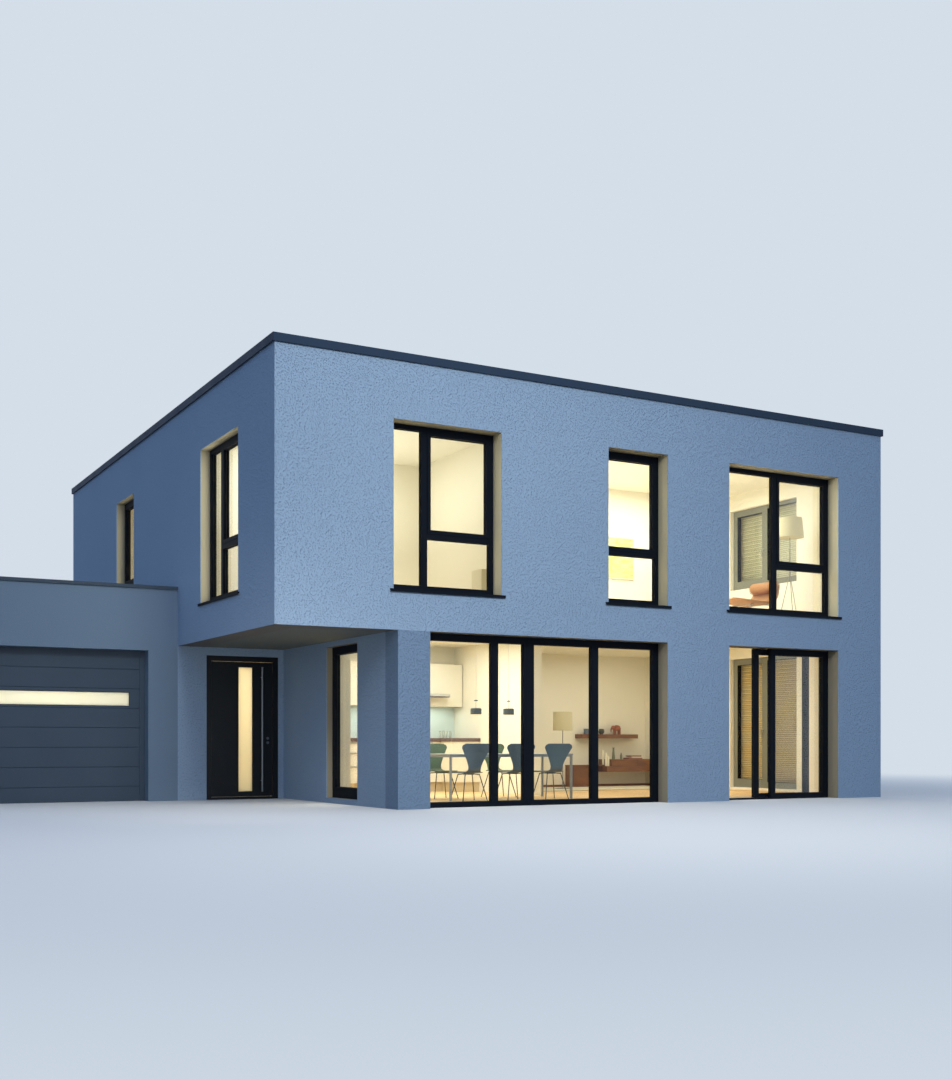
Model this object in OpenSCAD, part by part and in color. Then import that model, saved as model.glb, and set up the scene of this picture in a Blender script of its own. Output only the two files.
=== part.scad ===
// Detached house of two storeys with a flat roof, a recessed porch and a garage.
// Millimetres, +Z up. The drawing frame of the modules has X along the front from the
// left corner of the upper storey, Y into the house from the front face, Z from the ground.
// place() moves that frame so that the origin is the middle of the whole footprint.

/* [House body] */
// Width of the upper storey along the front
house_w = 10800; // [10500:50:12600]
// Depth of the house from the front face to the back face
house_d = 11860; // [11000:50:13000]
// Height of the top of the roof edge above the ground
house_h = 6200; // [6000:10:6600]
// Thickness of the rendered outer walls
wall_t = 400; // [400:10:480]
// Height of the finished ground floor above the ground
floor_h = 40; // [20:5:60]
// Height of the soffit over the porch, and of the heads of the ground floor openings
soffit_h = 2440; // [2400:10:2520]
// Height of the ground floor ceiling
ceiling_h = 2690; // [2600:10:2700]
// Height of the finished upper floor
upper_floor_h = 2930; // [2900:10:2950]
// Height of the upper ceiling
upper_ceiling_h = 5600; // [5450:10:5620]
// Height of the roof covering inside the parapet
roof_deck_h = 5900; // [5800:10:5950]

/* [Porch] */
// Width of the recess under the upper storey
porch_w = 1765; // [1700:5:2000]
// Depth of the recess from the front face to the entrance wall
porch_d = 4330; // [4000:10:4600]
// Width of the front face of the porch column
column_w = 490; // [450:5:600]
// Nearest edge of the side window, from the front face
side_window_y = 1355; // [1200:5:1500]
// Width of the side window
side_window_w = 1155; // [900:5:1300]
// Height of the head of the side window
side_window_head = 2360; // [2250:5:2380]

/* [Upper windows] */
// Height of the sills of the upper windows
sill_h = 2975; // [2950:5:3050]
// Height of the heads of the upper windows
head_h = 5300; // [5200:10:5350]
// Height of the middle of the transoms
transom_h = 3784; // [3700:4:3900]
// Left edge of the first front window
front_1_x = 1700; // [1600:10:1900]
// Width of the first front window
front_1_w = 1690; // [1500:10:1800]
// Left edge of the second front window
front_2_x = 5225; // [4900:5:5400]
// Width of the second front window
front_2_w = 1095; // [900:5:1300]
// Left edge of the third front window, and of the terrace door under it
front_3_x = 7520; // [7400:10:7600]
// Width of the third front window, and of the terrace door under it
front_3_w = 2316; // [2200:4:2400]
// Nearest edge of the first window in the left wall, from the front face
left_1_y = 1430; // [1200:10:1600]
// Width of the first window in the left wall
left_1_w = 1725; // [1500:5:1800]
// Nearest edge of the second window in the left wall
left_2_y = 7010; // [6600:10:7400]
// Width of the second window in the left wall
left_2_w = 1220; // [1000:10:1400]
// Nearest edge of the front window in the right wall, on both storeys
right_1_y = 1600; // [1500:10:1800]
// Width of the front window in the right wall, on both storeys
right_1_w = 1800; // [1600:10:1900]
// Height of the sill of the upper front window in the right wall
right_sill_h = 3800; // [3600:20:3900]

/* [Ground windows] */
// Height of the feet of the ground floor windows
ground_sill_h = 80; // [70:5:120]
// Height of the heads of the ground floor windows in the right and back walls
ground_head_h = 2500; // [2360:10:2560]
// Height of one slat of the drawn blinds
slat_h = 70; // [60:2:90]

/* [Window frames] */
// Visible width of the outer frame
frame_face = 66; // [56:2:80]
// Depth of the window frames
frame_deep = 80; // [70:5:100]
// Visible width of a mullion
mullion_w = 92; // [80:2:110]
// Visible width of a transom
transom_w = 78; // [70:2:100]
// Visible width that an opening sash adds to the frame
sash_face = 50; // [40:2:60]
// Distance that a sash stands proud of its frame
sash_proud = 10; // [6:1:16]
// Thickness of a glazing unit
glass_t = 24; // [20:2:36]
// Distance from the face of a frame to the glass
glass_in = 36; // [20:2:44]
// Distance from the wall face to the frames in the front, back and right walls
reveal = 240; // [180:10:260]
// Distance from the wall face to the frames in the left wall
left_reveal = 150; // [140:10:240]

/* [Terrace glazing] */
// Right edge of the terrace glazing, from the left corner
glazing_right = 6321; // [6200:1:6400]
// Visible width of the stiles of the terrace glazing
stile_w = 108; // [90:2:120]
// Height of the head and foot members of the terrace glazing
glazing_rail = 98; // [70:2:110]

/* [Terrace door] */
// Width of the sliding leaf
leaf_w = 1190; // [1150:5:1240]
// Width of the fixed leaf
fixed_leaf_w = 1256; // [1200:4:1300]
// Distance that the sliding leaf stands open
leaf_open = 715; // [0:5:900]
// Thickness of the leaves
leaf_t = 60; // [50:2:66]

/* [Entrance door] */
// Left edge of the entrance opening, from the left corner
door_x = 468; // [450:2:500]
// Width of the entrance opening
door_w = 1209; // [1100:1:1230]
// Height of the entrance opening
door_h = 2311; // [2250:1:2360]
// Visible width of the door frame
door_frame = 84; // [70:2:100]
// Thickness of the door leaf
door_t = 70; // [60:2:80]

/* [Garage] */
// Width of the garage, left of the house
garage_w = 3930; // [3600:10:4200]
// Depth of the garage from its front face
garage_d = 6500; // [6000:50:7400]
// Height of the top of the garage roof edge
garage_h = 3370; // [3250:10:3450]
// Thickness of the garage walls
garage_wall = 300; // [300:10:360]
// Width of the garage opening
garage_open_w = 3000; // [2500:50:3100]
// Height of the garage opening
garage_open_h = 2354; // [2250:2:2400]
// Height of one panel of the garage door
panel_h = 305; // [290:1:310]

/* [Rooms] */
// Left face of the partition between the kitchen and the living room
kitchen_wall_x = 5590; // [5500:10:5650]
// Thickness of that partition
kitchen_wall_t = 160; // [120:10:200]
// Distance from the front face to the near end of that partition
kitchen_wall_y = 2700; // [2700:20:3000]
// Distance from the front face to the back wall of the kitchen
kitchen_back_y = 5530; // [5500:10:5800]
// Distance from the front face to the back wall of the living room
living_back_y = 6100; // [6050:10:6400]
// Left face of the partition between the upper front rooms
upper_wall_x = 4070; // [4000:10:4200]
// Distance from the front face to the back wall of the upper front rooms
upper_back_y = 3900; // [3850:10:4200]
// Thickness of the other partitions
partition_t = 120; // [80:10:160]

/* [Roof edge] */
// Height of the metal edge on the house
edge_h = 110; // [90:5:140]
// Height of the metal edge on the garage
garage_edge_h = 50; // [40:5:80]
// Distance that the metal edges stand proud of the walls
edge_out = 30; // [20:2:40]

/* [Hidden] */
$fn = 32;

// Colours as they show at dusk
render_col = [0.62, 0.68, 0.76];
frame_col = [0.10, 0.12, 0.15];
metal_col = [0.22, 0.27, 0.35];
glass_col = [0.80, 0.86, 0.88, 0.35];
concrete_col = [0.70, 0.70, 0.68];
plaster_col = [0.95, 0.93, 0.86];
wood_col = [0.42, 0.26, 0.17];

eps = 1;
// The metal edges are sheet of this thickness, kept thick enough to be a solid
edge_sheet = 8;
mid_x = (house_w - garage_w) / 2;
mid_y = house_d / 2;
wall_top = house_h - edge_sheet;
garage_wall_top = garage_h - edge_sheet;
glazing_left = porch_w + column_w;
side_wall_x = porch_w + wall_t;
door_top = door_h - door_frame;

// Windows as [near edge, width, middle of the mullion or 0, foot, head, transom or 0]
front_windows = [
    [front_1_x, front_1_w, 585, sill_h, head_h, transom_h],
    [front_2_x, front_2_w, 0, sill_h, head_h, transom_h],
    [front_3_x, front_3_w, front_3_w / 2 - 16, sill_h, head_h, transom_h]
];
left_windows = [
    [left_1_y, left_1_w, 570, sill_h, head_h, transom_h],
    [left_2_y, left_2_w, 0, sill_h, head_h, transom_h]
];
right_windows = [
    [right_1_y, right_1_w, right_1_w / 2, right_sill_h, head_h, 0],
    [left_2_y, left_2_w, 0, sill_h, head_h, transom_h]
];
back_windows = [
    [front_1_x, front_1_w, 585, sill_h, head_h, transom_h],
    [front_2_x, front_2_w, 0, sill_h, head_h, transom_h],
    [front_3_x - 200, front_3_w, front_3_w / 2, sill_h, head_h, transom_h]
];
ground_right_windows = [
    [right_1_y, right_1_w, right_1_w / 2, ground_sill_h, ground_head_h, 0]
];
ground_back_windows = [
    [front_1_x, front_1_w, 585, ground_sill_h, ground_head_h, 0],
    [front_3_x - 200, front_3_w, front_3_w / 2, ground_sill_h, ground_head_h, 0]
];
porch_windows = [[0, side_window_w, 0, ground_sill_h, side_window_head, 0]];

module place() {
    translate([-mid_x, -mid_y, 0]) children();
}

// A box between two corners
module block(x0, x1, y0, y1, z0, z1) {
    translate([x0, y0, z0]) cube([x1 - x0, y1 - y0, z1 - z0]);
}

// The frames of the four sides: local X runs to the right as seen from outside,
// local Y runs into the house and local Z is up
module on_front() {
    children();
}
module on_left() {
    translate([0, house_d, 0]) rotate([0, 0, -90]) children();
}
module on_back() {
    translate([house_w, house_d, 0]) rotate([0, 0, 180]) children();
}
module on_right() {
    translate([house_w, 0, 0]) rotate([0, 0, 90]) children();
}

// Near edges in the left wall are measured from the front, local X there from the back
function from_back(window) = house_d - window[0] - window[1];
function left_local(list) = [for (w = list) [from_back(w), w[1], w[2], w[3], w[4], w[5]]];

// Openings of a row of windows through a wall
module openings(list) {
    for (w = list)
        translate([w[0], -eps, w[3]]) cube([w[1], wall_t + 2 * eps, w[4] - w[3]]);
}

// One window: holes are [x0, x1, z0, z1] of the visible glass
function pane_holes(w, h, mull, tz) =
    let (
        l = frame_face,
        r = w - frame_face,
        b = frame_face + 44,
        t = h - frame_face,
        x = mull == 0 ? l : mull + mullion_w / 2
    ) concat(
        mull == 0 ? [] : [[l, mull - mullion_w / 2, b, t]],
        tz == 0 ? [[x + sash_face, r - sash_face, b + sash_face, t - sash_face]]
        : [
            [x, r, b, tz - transom_w / 2],
            [x + sash_face, r - sash_face, tz + transom_w / 2 + sash_face, t - sash_face]
        ]
    );

// The hole with a sash is always the last
module window_frame(w, h, mull, tz) {
    holes = pane_holes(w, h, mull, tz);
    sash = holes[len(holes) - 1];
    difference() {
        union() {
            cube([w, frame_deep, h]);
            translate([sash[0] - sash_face, -sash_proud, sash[2] - sash_face])
                cube([
                    sash[1] - sash[0] + 2 * sash_face,
                    sash_proud + eps,
                    sash[3] - sash[2] + 2 * sash_face
                ]);
        }
        for (p = holes)
            translate([p[0], -sash_proud - eps, p[2]])
                cube([p[1] - p[0], frame_deep + sash_proud + 2 * eps, p[3] - p[2]]);
    }
}

module window_panes(w, h, mull, tz) {
    for (p = pane_holes(w, h, mull, tz))
        translate([p[0], glass_in, p[2]]) cube([p[1] - p[0], glass_t, p[3] - p[2]]);
}

module window_row(list, back, part) {
    for (w = list) {
        h = w[4] - w[3];
        tz = w[5] == 0 ? 0 : w[5] - w[3];
        translate([w[0], back, w[3]]) {
            if (part == "frame") window_frame(w[1], h, w[2], tz);
            if (part == "glass") window_panes(w[1], h, w[2], tz);
            if (part == "sill") window_sill(w[1], back);
        }
    }
}

// A folded metal sill: it falls towards the front and ends in a drip lip
module window_sill(w, back) {
    nose = 24;
    lip = 20;
    over = 55;
    lip_t = 6;
    translate([0, -back, 0]) {
        rotate([90, 0, 90])
            linear_extrude(w)
                polygon([[back, 0], [back, 28], [0, 22], [0, 0]]);
        translate([-over, 0, 0])
            rotate([90, 0, 90])
                linear_extrude(w + 2 * over)
                    polygon([
                        [0, 0], [0, 22], [-nose, 20], [-nose, -lip],
                        [lip_t - nose, -lip], [lip_t - nose, 0]
                    ]);
    }
}

module upper_windows(part) {
    on_front() window_row(front_windows, reveal, part);
    on_left() window_row(left_local(left_windows), left_reveal, part);
    on_back() window_row(back_windows, reveal, part);
    on_right() window_row(right_windows, reveal, part);
}

module ground_windows(part) {
    on_back() window_row(ground_back_windows, reveal, part);
    on_right() window_row(ground_right_windows, reveal, part);
    on_porch() window_row(porch_windows, porch_reveal, part);
}

// The tall window in the wall beside the porch looks towards the porch
porch_reveal = 100;
module on_porch() {
    translate([porch_w, side_window_y + side_window_w, 0]) rotate([0, 0, -90]) children();
}

// Slabs

module ground_floor_slab() {
    color(concrete_col) place() {
        union() {
            block(side_wall_x, house_w - wall_t, wall_t, house_d - wall_t, 0, floor_h);
            block(wall_t, side_wall_x, porch_d + wall_t, house_d - wall_t, 0, floor_h);
        }
        garage_inside(0, floor_h);
    }
}

// A block between the garage walls
module garage_inside(z0, z1) {
    block(garage_wall - garage_w, 0, porch_d + garage_wall,
        porch_d + garage_d - garage_wall, z0, z1);
}

module upper_floor_slab() {
    color(concrete_col) place()
        block(wall_t, house_w - wall_t, wall_t, house_d - wall_t, ceiling_h, upper_floor_h);
}

module porch_soffit() {
    color(render_col) place()
        block(wall_t, side_wall_x, wall_t, porch_d + wall_t, soffit_h, ceiling_h);
}

garage_ceiling_h = 2550;
garage_deck_h = 2900;

module roof_slabs() {
    color(concrete_col) place() {
        block(wall_t, house_w - wall_t, wall_t, house_d - wall_t, upper_ceiling_h, roof_deck_h);
        garage_inside(garage_ceiling_h, garage_deck_h);
    }
}

// Metal roof edges: a folded profile over the parapet with a lip on each side
module edge_profile(t, h) {
    s = edge_sheet;
    difference() {
        translate([-edge_out, -h]) square([t + edge_out + 12, h]);
        translate([s - edge_out, -h - eps]) square([t + edge_out + 12 - 2 * s, h + eps - s]);
    }
}

// One bar from x0 to x1 with its ends cut at 45 degrees towards the inside;
// cut0 and cut1 say which ends are mitred
module edge_bar(x0, x1, t, h, cut0, cut1) {
    gap = 2;
    deep = t + edge_out + 12;
    intersection() {
        translate([x0 - edge_out, 0, 0])
            rotate([90, 0, 90])
                linear_extrude(x1 - x0 + 2 * edge_out) edge_profile(t, h);
        translate([0, 0, -h - eps])
            linear_extrude(h + 2 * eps)
                polygon([
                    [x0 - (cut0 ? edge_out - gap : 0), -edge_out],
                    [x1 + (cut1 ? edge_out - gap : 0), -edge_out],
                    [x1 + (cut1 ? edge_out - gap - deep : 0), deep - edge_out],
                    [x0 - (cut0 ? edge_out - gap - deep : 0), deep - edge_out]
                ]);
    }
}

module house_roof_edge() {
    on_front() edge_bar(0, house_w, wall_t, edge_h, true, true);
    on_back() edge_bar(0, house_w, wall_t, edge_h, true, true);
    on_left() edge_bar(0, house_d, wall_t, edge_h, true, true);
    on_right() edge_bar(0, house_d, wall_t, edge_h, true, true);
}

module garage_roof_edge() {
    edge_bar(0, garage_w, garage_wall, garage_edge_h, true, false);
    translate([0, garage_d, 0])
        rotate([0, 0, -90]) edge_bar(0, garage_d, garage_wall, garage_edge_h, true, true);
    translate([garage_w, garage_d, 0])
        rotate([0, 0, 180]) edge_bar(0, garage_w, garage_wall, garage_edge_h, false, true);
}

module roof_edges() {
    color(metal_col) place() {
        translate([0, 0, house_h]) house_roof_edge();
        translate([-garage_w, porch_d, garage_h]) garage_roof_edge();
    }
}

// Ground floor walls

module porch_column() {
    color(render_col) place()
        block(porch_w, glazing_left, 0, wall_t, 0, soffit_h);
}

module porch_side_wall() {
    color(render_col) place() difference() {
        block(porch_w, side_wall_x, wall_t, porch_d, 0, soffit_h);
        on_porch() openings(porch_windows);
    }
}

module entrance_walls() {
    color(render_col) place() {
        block(0, door_x, porch_d, porch_d + wall_t, 0, soffit_h);
        block(door_x + door_w, side_wall_x, porch_d, porch_d + wall_t, 0, soffit_h);
    }
}

module entrance_lintel() {
    color(render_col) place()
        block(door_x, door_x + door_w, porch_d, porch_d + wall_t, door_h, soffit_h);
}

// The middle pier between the terrace glazing and the terrace door, and the corner pier
module front_piers() {
    color(render_col) place() {
        block(glazing_right, front_3_x, 0, wall_t, 0, soffit_h);
        block(front_3_x + front_3_w, house_w, 0, wall_t, 0, soffit_h);
    }
}

module ground_left_wall() {
    color(render_col) place()
        block(0, wall_t, porch_d + wall_t, house_d, 0, soffit_h);
}

// The right and back walls of the ground floor run up to the underside of the upper slab
module ground_right_wall() {
    color(render_col) place() difference() {
        block(house_w - wall_t, house_w, wall_t, house_d - wall_t, 0, ceiling_h);
        on_right() openings(ground_right_windows);
    }
}

module ground_back_wall() {
    color(render_col) place() difference() {
        block(wall_t, house_w, house_d - wall_t, house_d, 0, ceiling_h);
        on_back() openings(ground_back_windows);
    }
}

// Upper walls. The front wall has a rebate over the terrace door for the door's head

module upper_front_wall() {
    color(render_col) place() difference() {
        block(0, house_w, 0, wall_t, soffit_h, wall_top);
        openings(front_windows);
        block(front_3_x, front_3_x + front_3_w, reveal, wall_t + eps,
            soffit_h - eps, door_head_h);
    }
}

module upper_left_wall() {
    color(render_col) place() difference() {
        block(0, wall_t, wall_t, house_d, soffit_h, wall_top);
        on_left() openings(left_local(left_windows));
    }
}

module upper_back_wall() {
    color(render_col) place() difference() {
        block(wall_t, house_w, house_d - wall_t, house_d, ceiling_h, wall_top);
        on_back() openings(back_windows);
    }
}

module upper_right_wall() {
    color(render_col) place() difference() {
        block(house_w - wall_t, house_w, wall_t, house_d - wall_t, ceiling_h, wall_top);
        on_right() openings(right_windows);
    }
}

// Garage

garage_left = -garage_w;
garage_open_x = (garage_open_w + garage_w) / -2;

module garage_front_wall() {
    color(render_col) place() difference() {
        block(garage_left, 0, porch_d, porch_d + garage_wall, 0, garage_wall_top);
        block(garage_open_x, garage_open_x + garage_open_w, porch_d - eps,
            porch_d + garage_wall + eps, -eps, garage_open_h);
    }
}

module garage_left_wall() {
    color(render_col) place()
        block(garage_left, garage_left + garage_wall, porch_d + garage_wall,
            porch_d + garage_d - garage_wall, 0, garage_wall_top);
}

module garage_back_wall() {
    color(render_col) place()
        block(garage_left, 0, porch_d + garage_d - garage_wall, porch_d + garage_d,
            0, garage_wall_top);
}

garage_post = 80;
garage_set = 200;
garage_leaf_x = garage_open_x + garage_post;
garage_leaf_w = garage_open_w - 2 * garage_post;
garage_leaf_y = porch_d + garage_set + 16;
garage_leaf_t = 44;
garage_light_z = [1486, 1703];
garage_light_in = 160;

module garage_door_frame() {
    color(metal_col) place() {
        for (x = [garage_open_x, garage_open_x + garage_open_w - garage_post])
            block(x, x + garage_post, porch_d + garage_set, porch_d + garage_wall,
                0, garage_open_h);
    }
}

// Outline of the leaf in section: flat panels with a V groove at every joint
function garage_joints() = [for (i = [0:6]) 231 + i * panel_h];
module garage_leaf_section() {
    v = 7;
    polygon(concat(
        [[garage_leaf_t, 0], [0, 0]],
        [for (z = garage_joints()) each [[0, z - v], [v, z], [0, z + v]]],
        [[0, garage_open_h], [garage_leaf_t, garage_open_h]]
    ));
}

module garage_door() {
    color(metal_col) place() difference() {
        translate([garage_leaf_x, garage_leaf_y, 0])
            rotate([90, 0, 90]) linear_extrude(garage_leaf_w) garage_leaf_section();
        block(garage_leaf_x + garage_light_in, garage_leaf_x + garage_leaf_w - garage_light_in,
            garage_leaf_y - eps, garage_leaf_y + garage_leaf_t + eps,
            garage_light_z[0], garage_light_z[1]);
    }
}

module garage_door_glass() {
    color(glass_col) place()
        block(garage_leaf_x + garage_light_in, garage_leaf_x + garage_leaf_w - garage_light_in,
            garage_leaf_y + 10, garage_leaf_y + 30, garage_light_z[0], garage_light_z[1]);
}

// Terrace glazing: two elements side by side, each with one stile inside
glazing_seam = 3958;
glazing_panes = [
    [glazing_left + stile_w, 3363],
    [3473, glazing_seam - 60],
    [glazing_seam + 117, 5084],
    [5206, glazing_right - stile_w]
];

module terrace_glazing_frame() {
    color(frame_col) place() difference() {
        block(glazing_left, glazing_right, reveal, reveal + frame_deep, 0, soffit_h);
        for (p = glazing_panes)
            block(p[0], p[1], reveal - eps, reveal + frame_deep + eps,
                72, soffit_h - glazing_rail);
        block(glazing_seam - 2, glazing_seam + 2, reveal - eps, reveal + 6, -eps, soffit_h + eps);
    }
}

module terrace_glazing_glass() {
    color(glass_col) place() {
        for (p = glazing_panes)
            block(p[0], p[1], reveal + glass_in, reveal + glass_in + glass_t,
                72, soffit_h - glazing_rail);
        leaf_pane(fixed_x, fixed_y, fixed_leaf_w);
    }
}

// Terrace door: a fixed leaf outside and a sliding leaf behind it
door_head_h = soffit_h + 60;
track_h = floor_h - 14;
post_w = 60;
door_right = front_3_x + front_3_w;
fixed_x = door_right - fixed_leaf_w;
fixed_y = reveal;
slide_y = reveal + leaf_t + 20;
slide_x = front_3_x + post_w + 5 + leaf_open;
leaf_stile = 104;
leaf_foot = 56;
leaf_head = 92;
leaf_z0 = track_h + 6;
leaf_z1 = soffit_h - 4;

module leaf_frame(x, y, w) {
    difference() {
        block(x, x + w, y, y + leaf_t, leaf_z0, leaf_z1);
        block(x + leaf_stile, x + w - leaf_stile, y - eps, y + leaf_t + eps,
            leaf_z0 + leaf_foot, leaf_z1 - leaf_head);
    }
}

module leaf_pane(x, y, w) {
    block(x + leaf_stile, x + w - leaf_stile, y + 18, y + 18 + glass_t,
        leaf_z0 + leaf_foot, leaf_z1 - leaf_head);
}

// Outer frame with its head in the rebate of the wall, and the fixed leaf seated in it
module terrace_door_frame() {
    color(frame_col) place() {
        union() {
            block(front_3_x, front_3_x + post_w, reveal, wall_t, 0, door_head_h);
            block(door_right - post_w, door_right, reveal + leaf_t, wall_t, 0, door_head_h);
            block(front_3_x, door_right, reveal, wall_t, soffit_h + 4, door_head_h);
            block(front_3_x, door_right, reveal, wall_t, 0, track_h);
            leaf_frame(fixed_x, fixed_y, fixed_leaf_w);
            block(fixed_x, door_right, fixed_y, fixed_y + leaf_t, track_h, leaf_z0);
            block(fixed_x, door_right, fixed_y, fixed_y + leaf_t, leaf_z1, soffit_h + 4);
        }
    }
}

module terrace_door_leaf() {
    color(frame_col) place() leaf_frame(slide_x, slide_y, leaf_w);
}

// A turning handle on the inner face of the leaf's left stile
module terrace_door_handle() {
    x = slide_x + leaf_stile / 2;
    y = slide_y + leaf_t;
    color("silver") place() union() {
        block(x - 16, x + 16, y, y + 8, 980, 1140);
        translate([x, y + 50, 1099]) rotate([90, 0, 0]) cylinder(r = 10, h = 44);
        block(x - 11, x + 11, y + 40, y + 52, 940, 1110);
    }
}

module terrace_door_glass() {
    color(glass_col) place() leaf_pane(slide_x, slide_y, leaf_w);
}

// Entrance door: the hinge pins stand on the inner face at the left edge
door_y = porch_d + 30;
door_back = door_y + door_t;
hinge_gap = 5;
lock_gap = 9;
door_leaf_x = door_x + door_frame + hinge_gap;
door_leaf_w = door_w - 2 * door_frame - hinge_gap - lock_gap;
door_z0 = floor_h + 6;
door_z1 = door_top - 6;
door_light_x = [1007, 1251];
door_light_z = [118, 2142];
pin_r = 11;
pin_y = door_back + pin_r + 1;
hinge_z = [260, 1100, 1980];
knuckle_h = 60;

module entrance_door_frame() {
    color(frame_col) place() {
        difference() {
            block(door_x, door_x + door_w, porch_d + 20, door_back, 0, door_h);
            block(door_x + door_frame, door_x + door_w - door_frame,
                porch_d + 20 - eps, door_back + eps, floor_h, door_top);
        }
        for (z = hinge_z) frame_knuckle(z);
    }
}

// The lower knuckle of a hinge, with the plate that carries it on the frame
module frame_knuckle(z) {
    translate([door_leaf_x, pin_y, z]) cylinder(r = pin_r, h = knuckle_h);
    block(door_x + door_frame - 30, door_leaf_x - 2, door_back - eps, pin_y + 4,
        z, z + knuckle_h);
}

// The upper knuckle, with its plate on the leaf
module leaf_knuckle(z) {
    translate([door_leaf_x, pin_y, z + knuckle_h + 2]) cylinder(r = pin_r, h = knuckle_h);
    block(door_leaf_x, door_leaf_x + 34, door_back - eps, pin_y - 4,
        z + knuckle_h + 2, z + 2 * knuckle_h + 2);
}

module entrance_door_leaf() {
    color(frame_col) place() {
        difference() {
            block(door_leaf_x, door_leaf_x + door_leaf_w, door_y, door_back,
                door_z0, door_z1);
            block(door_light_x[0], door_light_x[1], door_y - eps, door_back + eps,
                door_light_z[0], door_light_z[1]);
        }
        for (z = hinge_z) leaf_knuckle(z);
    }
}

module entrance_door_glass() {
    color(glass_col) place()
        block(door_light_x[0], door_light_x[1], door_y + 20, door_y + 20 + glass_t,
            door_light_z[0], door_light_z[1]);
}

// A full height pull bar outside, a lock rose outside and a lever inside
bar_x = 1392;
bar_r = 15;
bar_out = 58;
lock_x = 1503;
lock_z = 1000;

module entrance_door_handles() {
    color("silver") place() {
        union() {
            translate([bar_x, door_y - bar_out, 118]) cylinder(r = bar_r, h = 2026);
            for (z = [300, 1980])
                translate([bar_x, door_y, z])
                    rotate([90, 0, 0]) cylinder(r = 9, h = bar_out);
        }
        for (z = [916, 987])
            translate([lock_x, door_y, z]) rotate([90, 0, 0]) cylinder(r = 22, h = 9);
        union() {
            translate([lock_x, door_back + 8, lock_z])
                rotate([90, 0, 0]) cylinder(r = 26, h = 8);
            translate([lock_x, door_back + 52, lock_z])
                rotate([90, 0, 0]) cylinder(r = 10, h = 46);
            translate([lock_x - 128, door_back + 46, lock_z])
                rotate([0, 90, 0]) cylinder(r = 10, h = 134);
        }
    }
}

module window_frames() {
    color(frame_col) place() {
        upper_windows("frame");
        ground_windows("frame");
    }
}

module window_glass() {
    color(glass_col) place() {
        upper_windows("glass");
        ground_windows("glass");
    }
}

module window_sills() {
    color(frame_col) place() upper_windows("sill");
}

// A lowered blind in its two guides: tilted slats that overlap, under a head rail
blind_y = 150;
guide_w = 24;
guide_d = 34;
guide_foot = 34;
head_rail_h = 112;

module blind(w, h) {
    n = floor((h - head_rail_h - guide_foot - 40) / slat_h);
    lean = 20;
    sheet = 5;
    fold = 12;
    foot = h - head_rail_h + 2 - n * slat_h;
    inner_w = w - 2 * guide_w + 2 * eps;
    rising = [for (i = [0:n - 1]) each [[0, i * slat_h], [lean, (i + 1) * slat_h - fold]]];
    shifted = [for (i = [len(rising) - 1:-1:0]) [rising[i][0] + sheet, rising[i][1]]];
    translate([0, blind_y, 0]) union() {
        translate([guide_w - eps, 4, foot])
            rotate([90, 0, 90]) linear_extrude(inner_w)
                polygon(concat(rising, [[0, n * slat_h], [sheet, n * slat_h]], shifted));
        for (x = [0, w - guide_w])
            translate([x, 0, guide_foot]) cube([guide_w, guide_d, h - guide_foot]);
        translate([guide_w - eps, 0, h - head_rail_h]) cube([inner_w, guide_d, head_rail_h]);
        translate([guide_w - eps, 0, foot - 36]) cube([inner_w, 28, 38]);
    }
}

module window_blinds() {
    color(metal_col) place() on_right()
        for (w = [right_windows[0], ground_right_windows[0]])
            translate([w[0], 0, w[3]]) blind(w[1], w[4] - w[3]);
}

// Inner walls. Each ends short of the next wall where one walks through
hall_gap = 900;
door_gap_x = 1500;

module partitions() {
    kitchen_right = kitchen_wall_x + kitchen_wall_t;
    color(plaster_col) place() {
        union() {
            block(kitchen_wall_x, kitchen_right, kitchen_wall_y,
                living_back_y + partition_t, floor_h, ceiling_h);
            block(units_x, kitchen_wall_x + eps, kitchen_back_y,
                kitchen_back_y + partition_t, floor_h, ceiling_h);
            block(kitchen_right - eps, house_w - wall_t, living_back_y,
                living_back_y + partition_t, floor_h, ceiling_h);
        }
        union() {
            block(upper_wall_x, upper_wall_x + partition_t, wall_t,
                upper_back_y + eps, upper_floor_h, upper_ceiling_h);
            block(door_gap_x + hall_gap, house_w - wall_t - hall_gap, upper_back_y,
                upper_back_y + partition_t, upper_floor_h, upper_ceiling_h);
        }
        block(wall_t, door_gap_x, upper_back_y, upper_back_y + partition_t,
            upper_floor_h, upper_ceiling_h);
    }
}

// Kitchen along the back wall, with a short leg along the partition
units_x = 3000;
units_d = 600;
units_leg_y = 4530;
worktop_h = 1000;
worktop_t = 62;
plinth_h = 170;
wall_units_z = [1575, 2350];
wall_units_d = 350;

// The outline of the L in plan, drawn in by a distance on its open sides
module units_plan(in) {
    polygon([
        [units_x + in, kitchen_back_y],
        [units_x + in, kitchen_back_y - units_d + in],
        [kitchen_wall_x - units_d + in, kitchen_back_y - units_d + in],
        [kitchen_wall_x - units_d + in, units_leg_y + in],
        [kitchen_wall_x, units_leg_y + in],
        [kitchen_wall_x, kitchen_back_y]
    ]);
}

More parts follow.
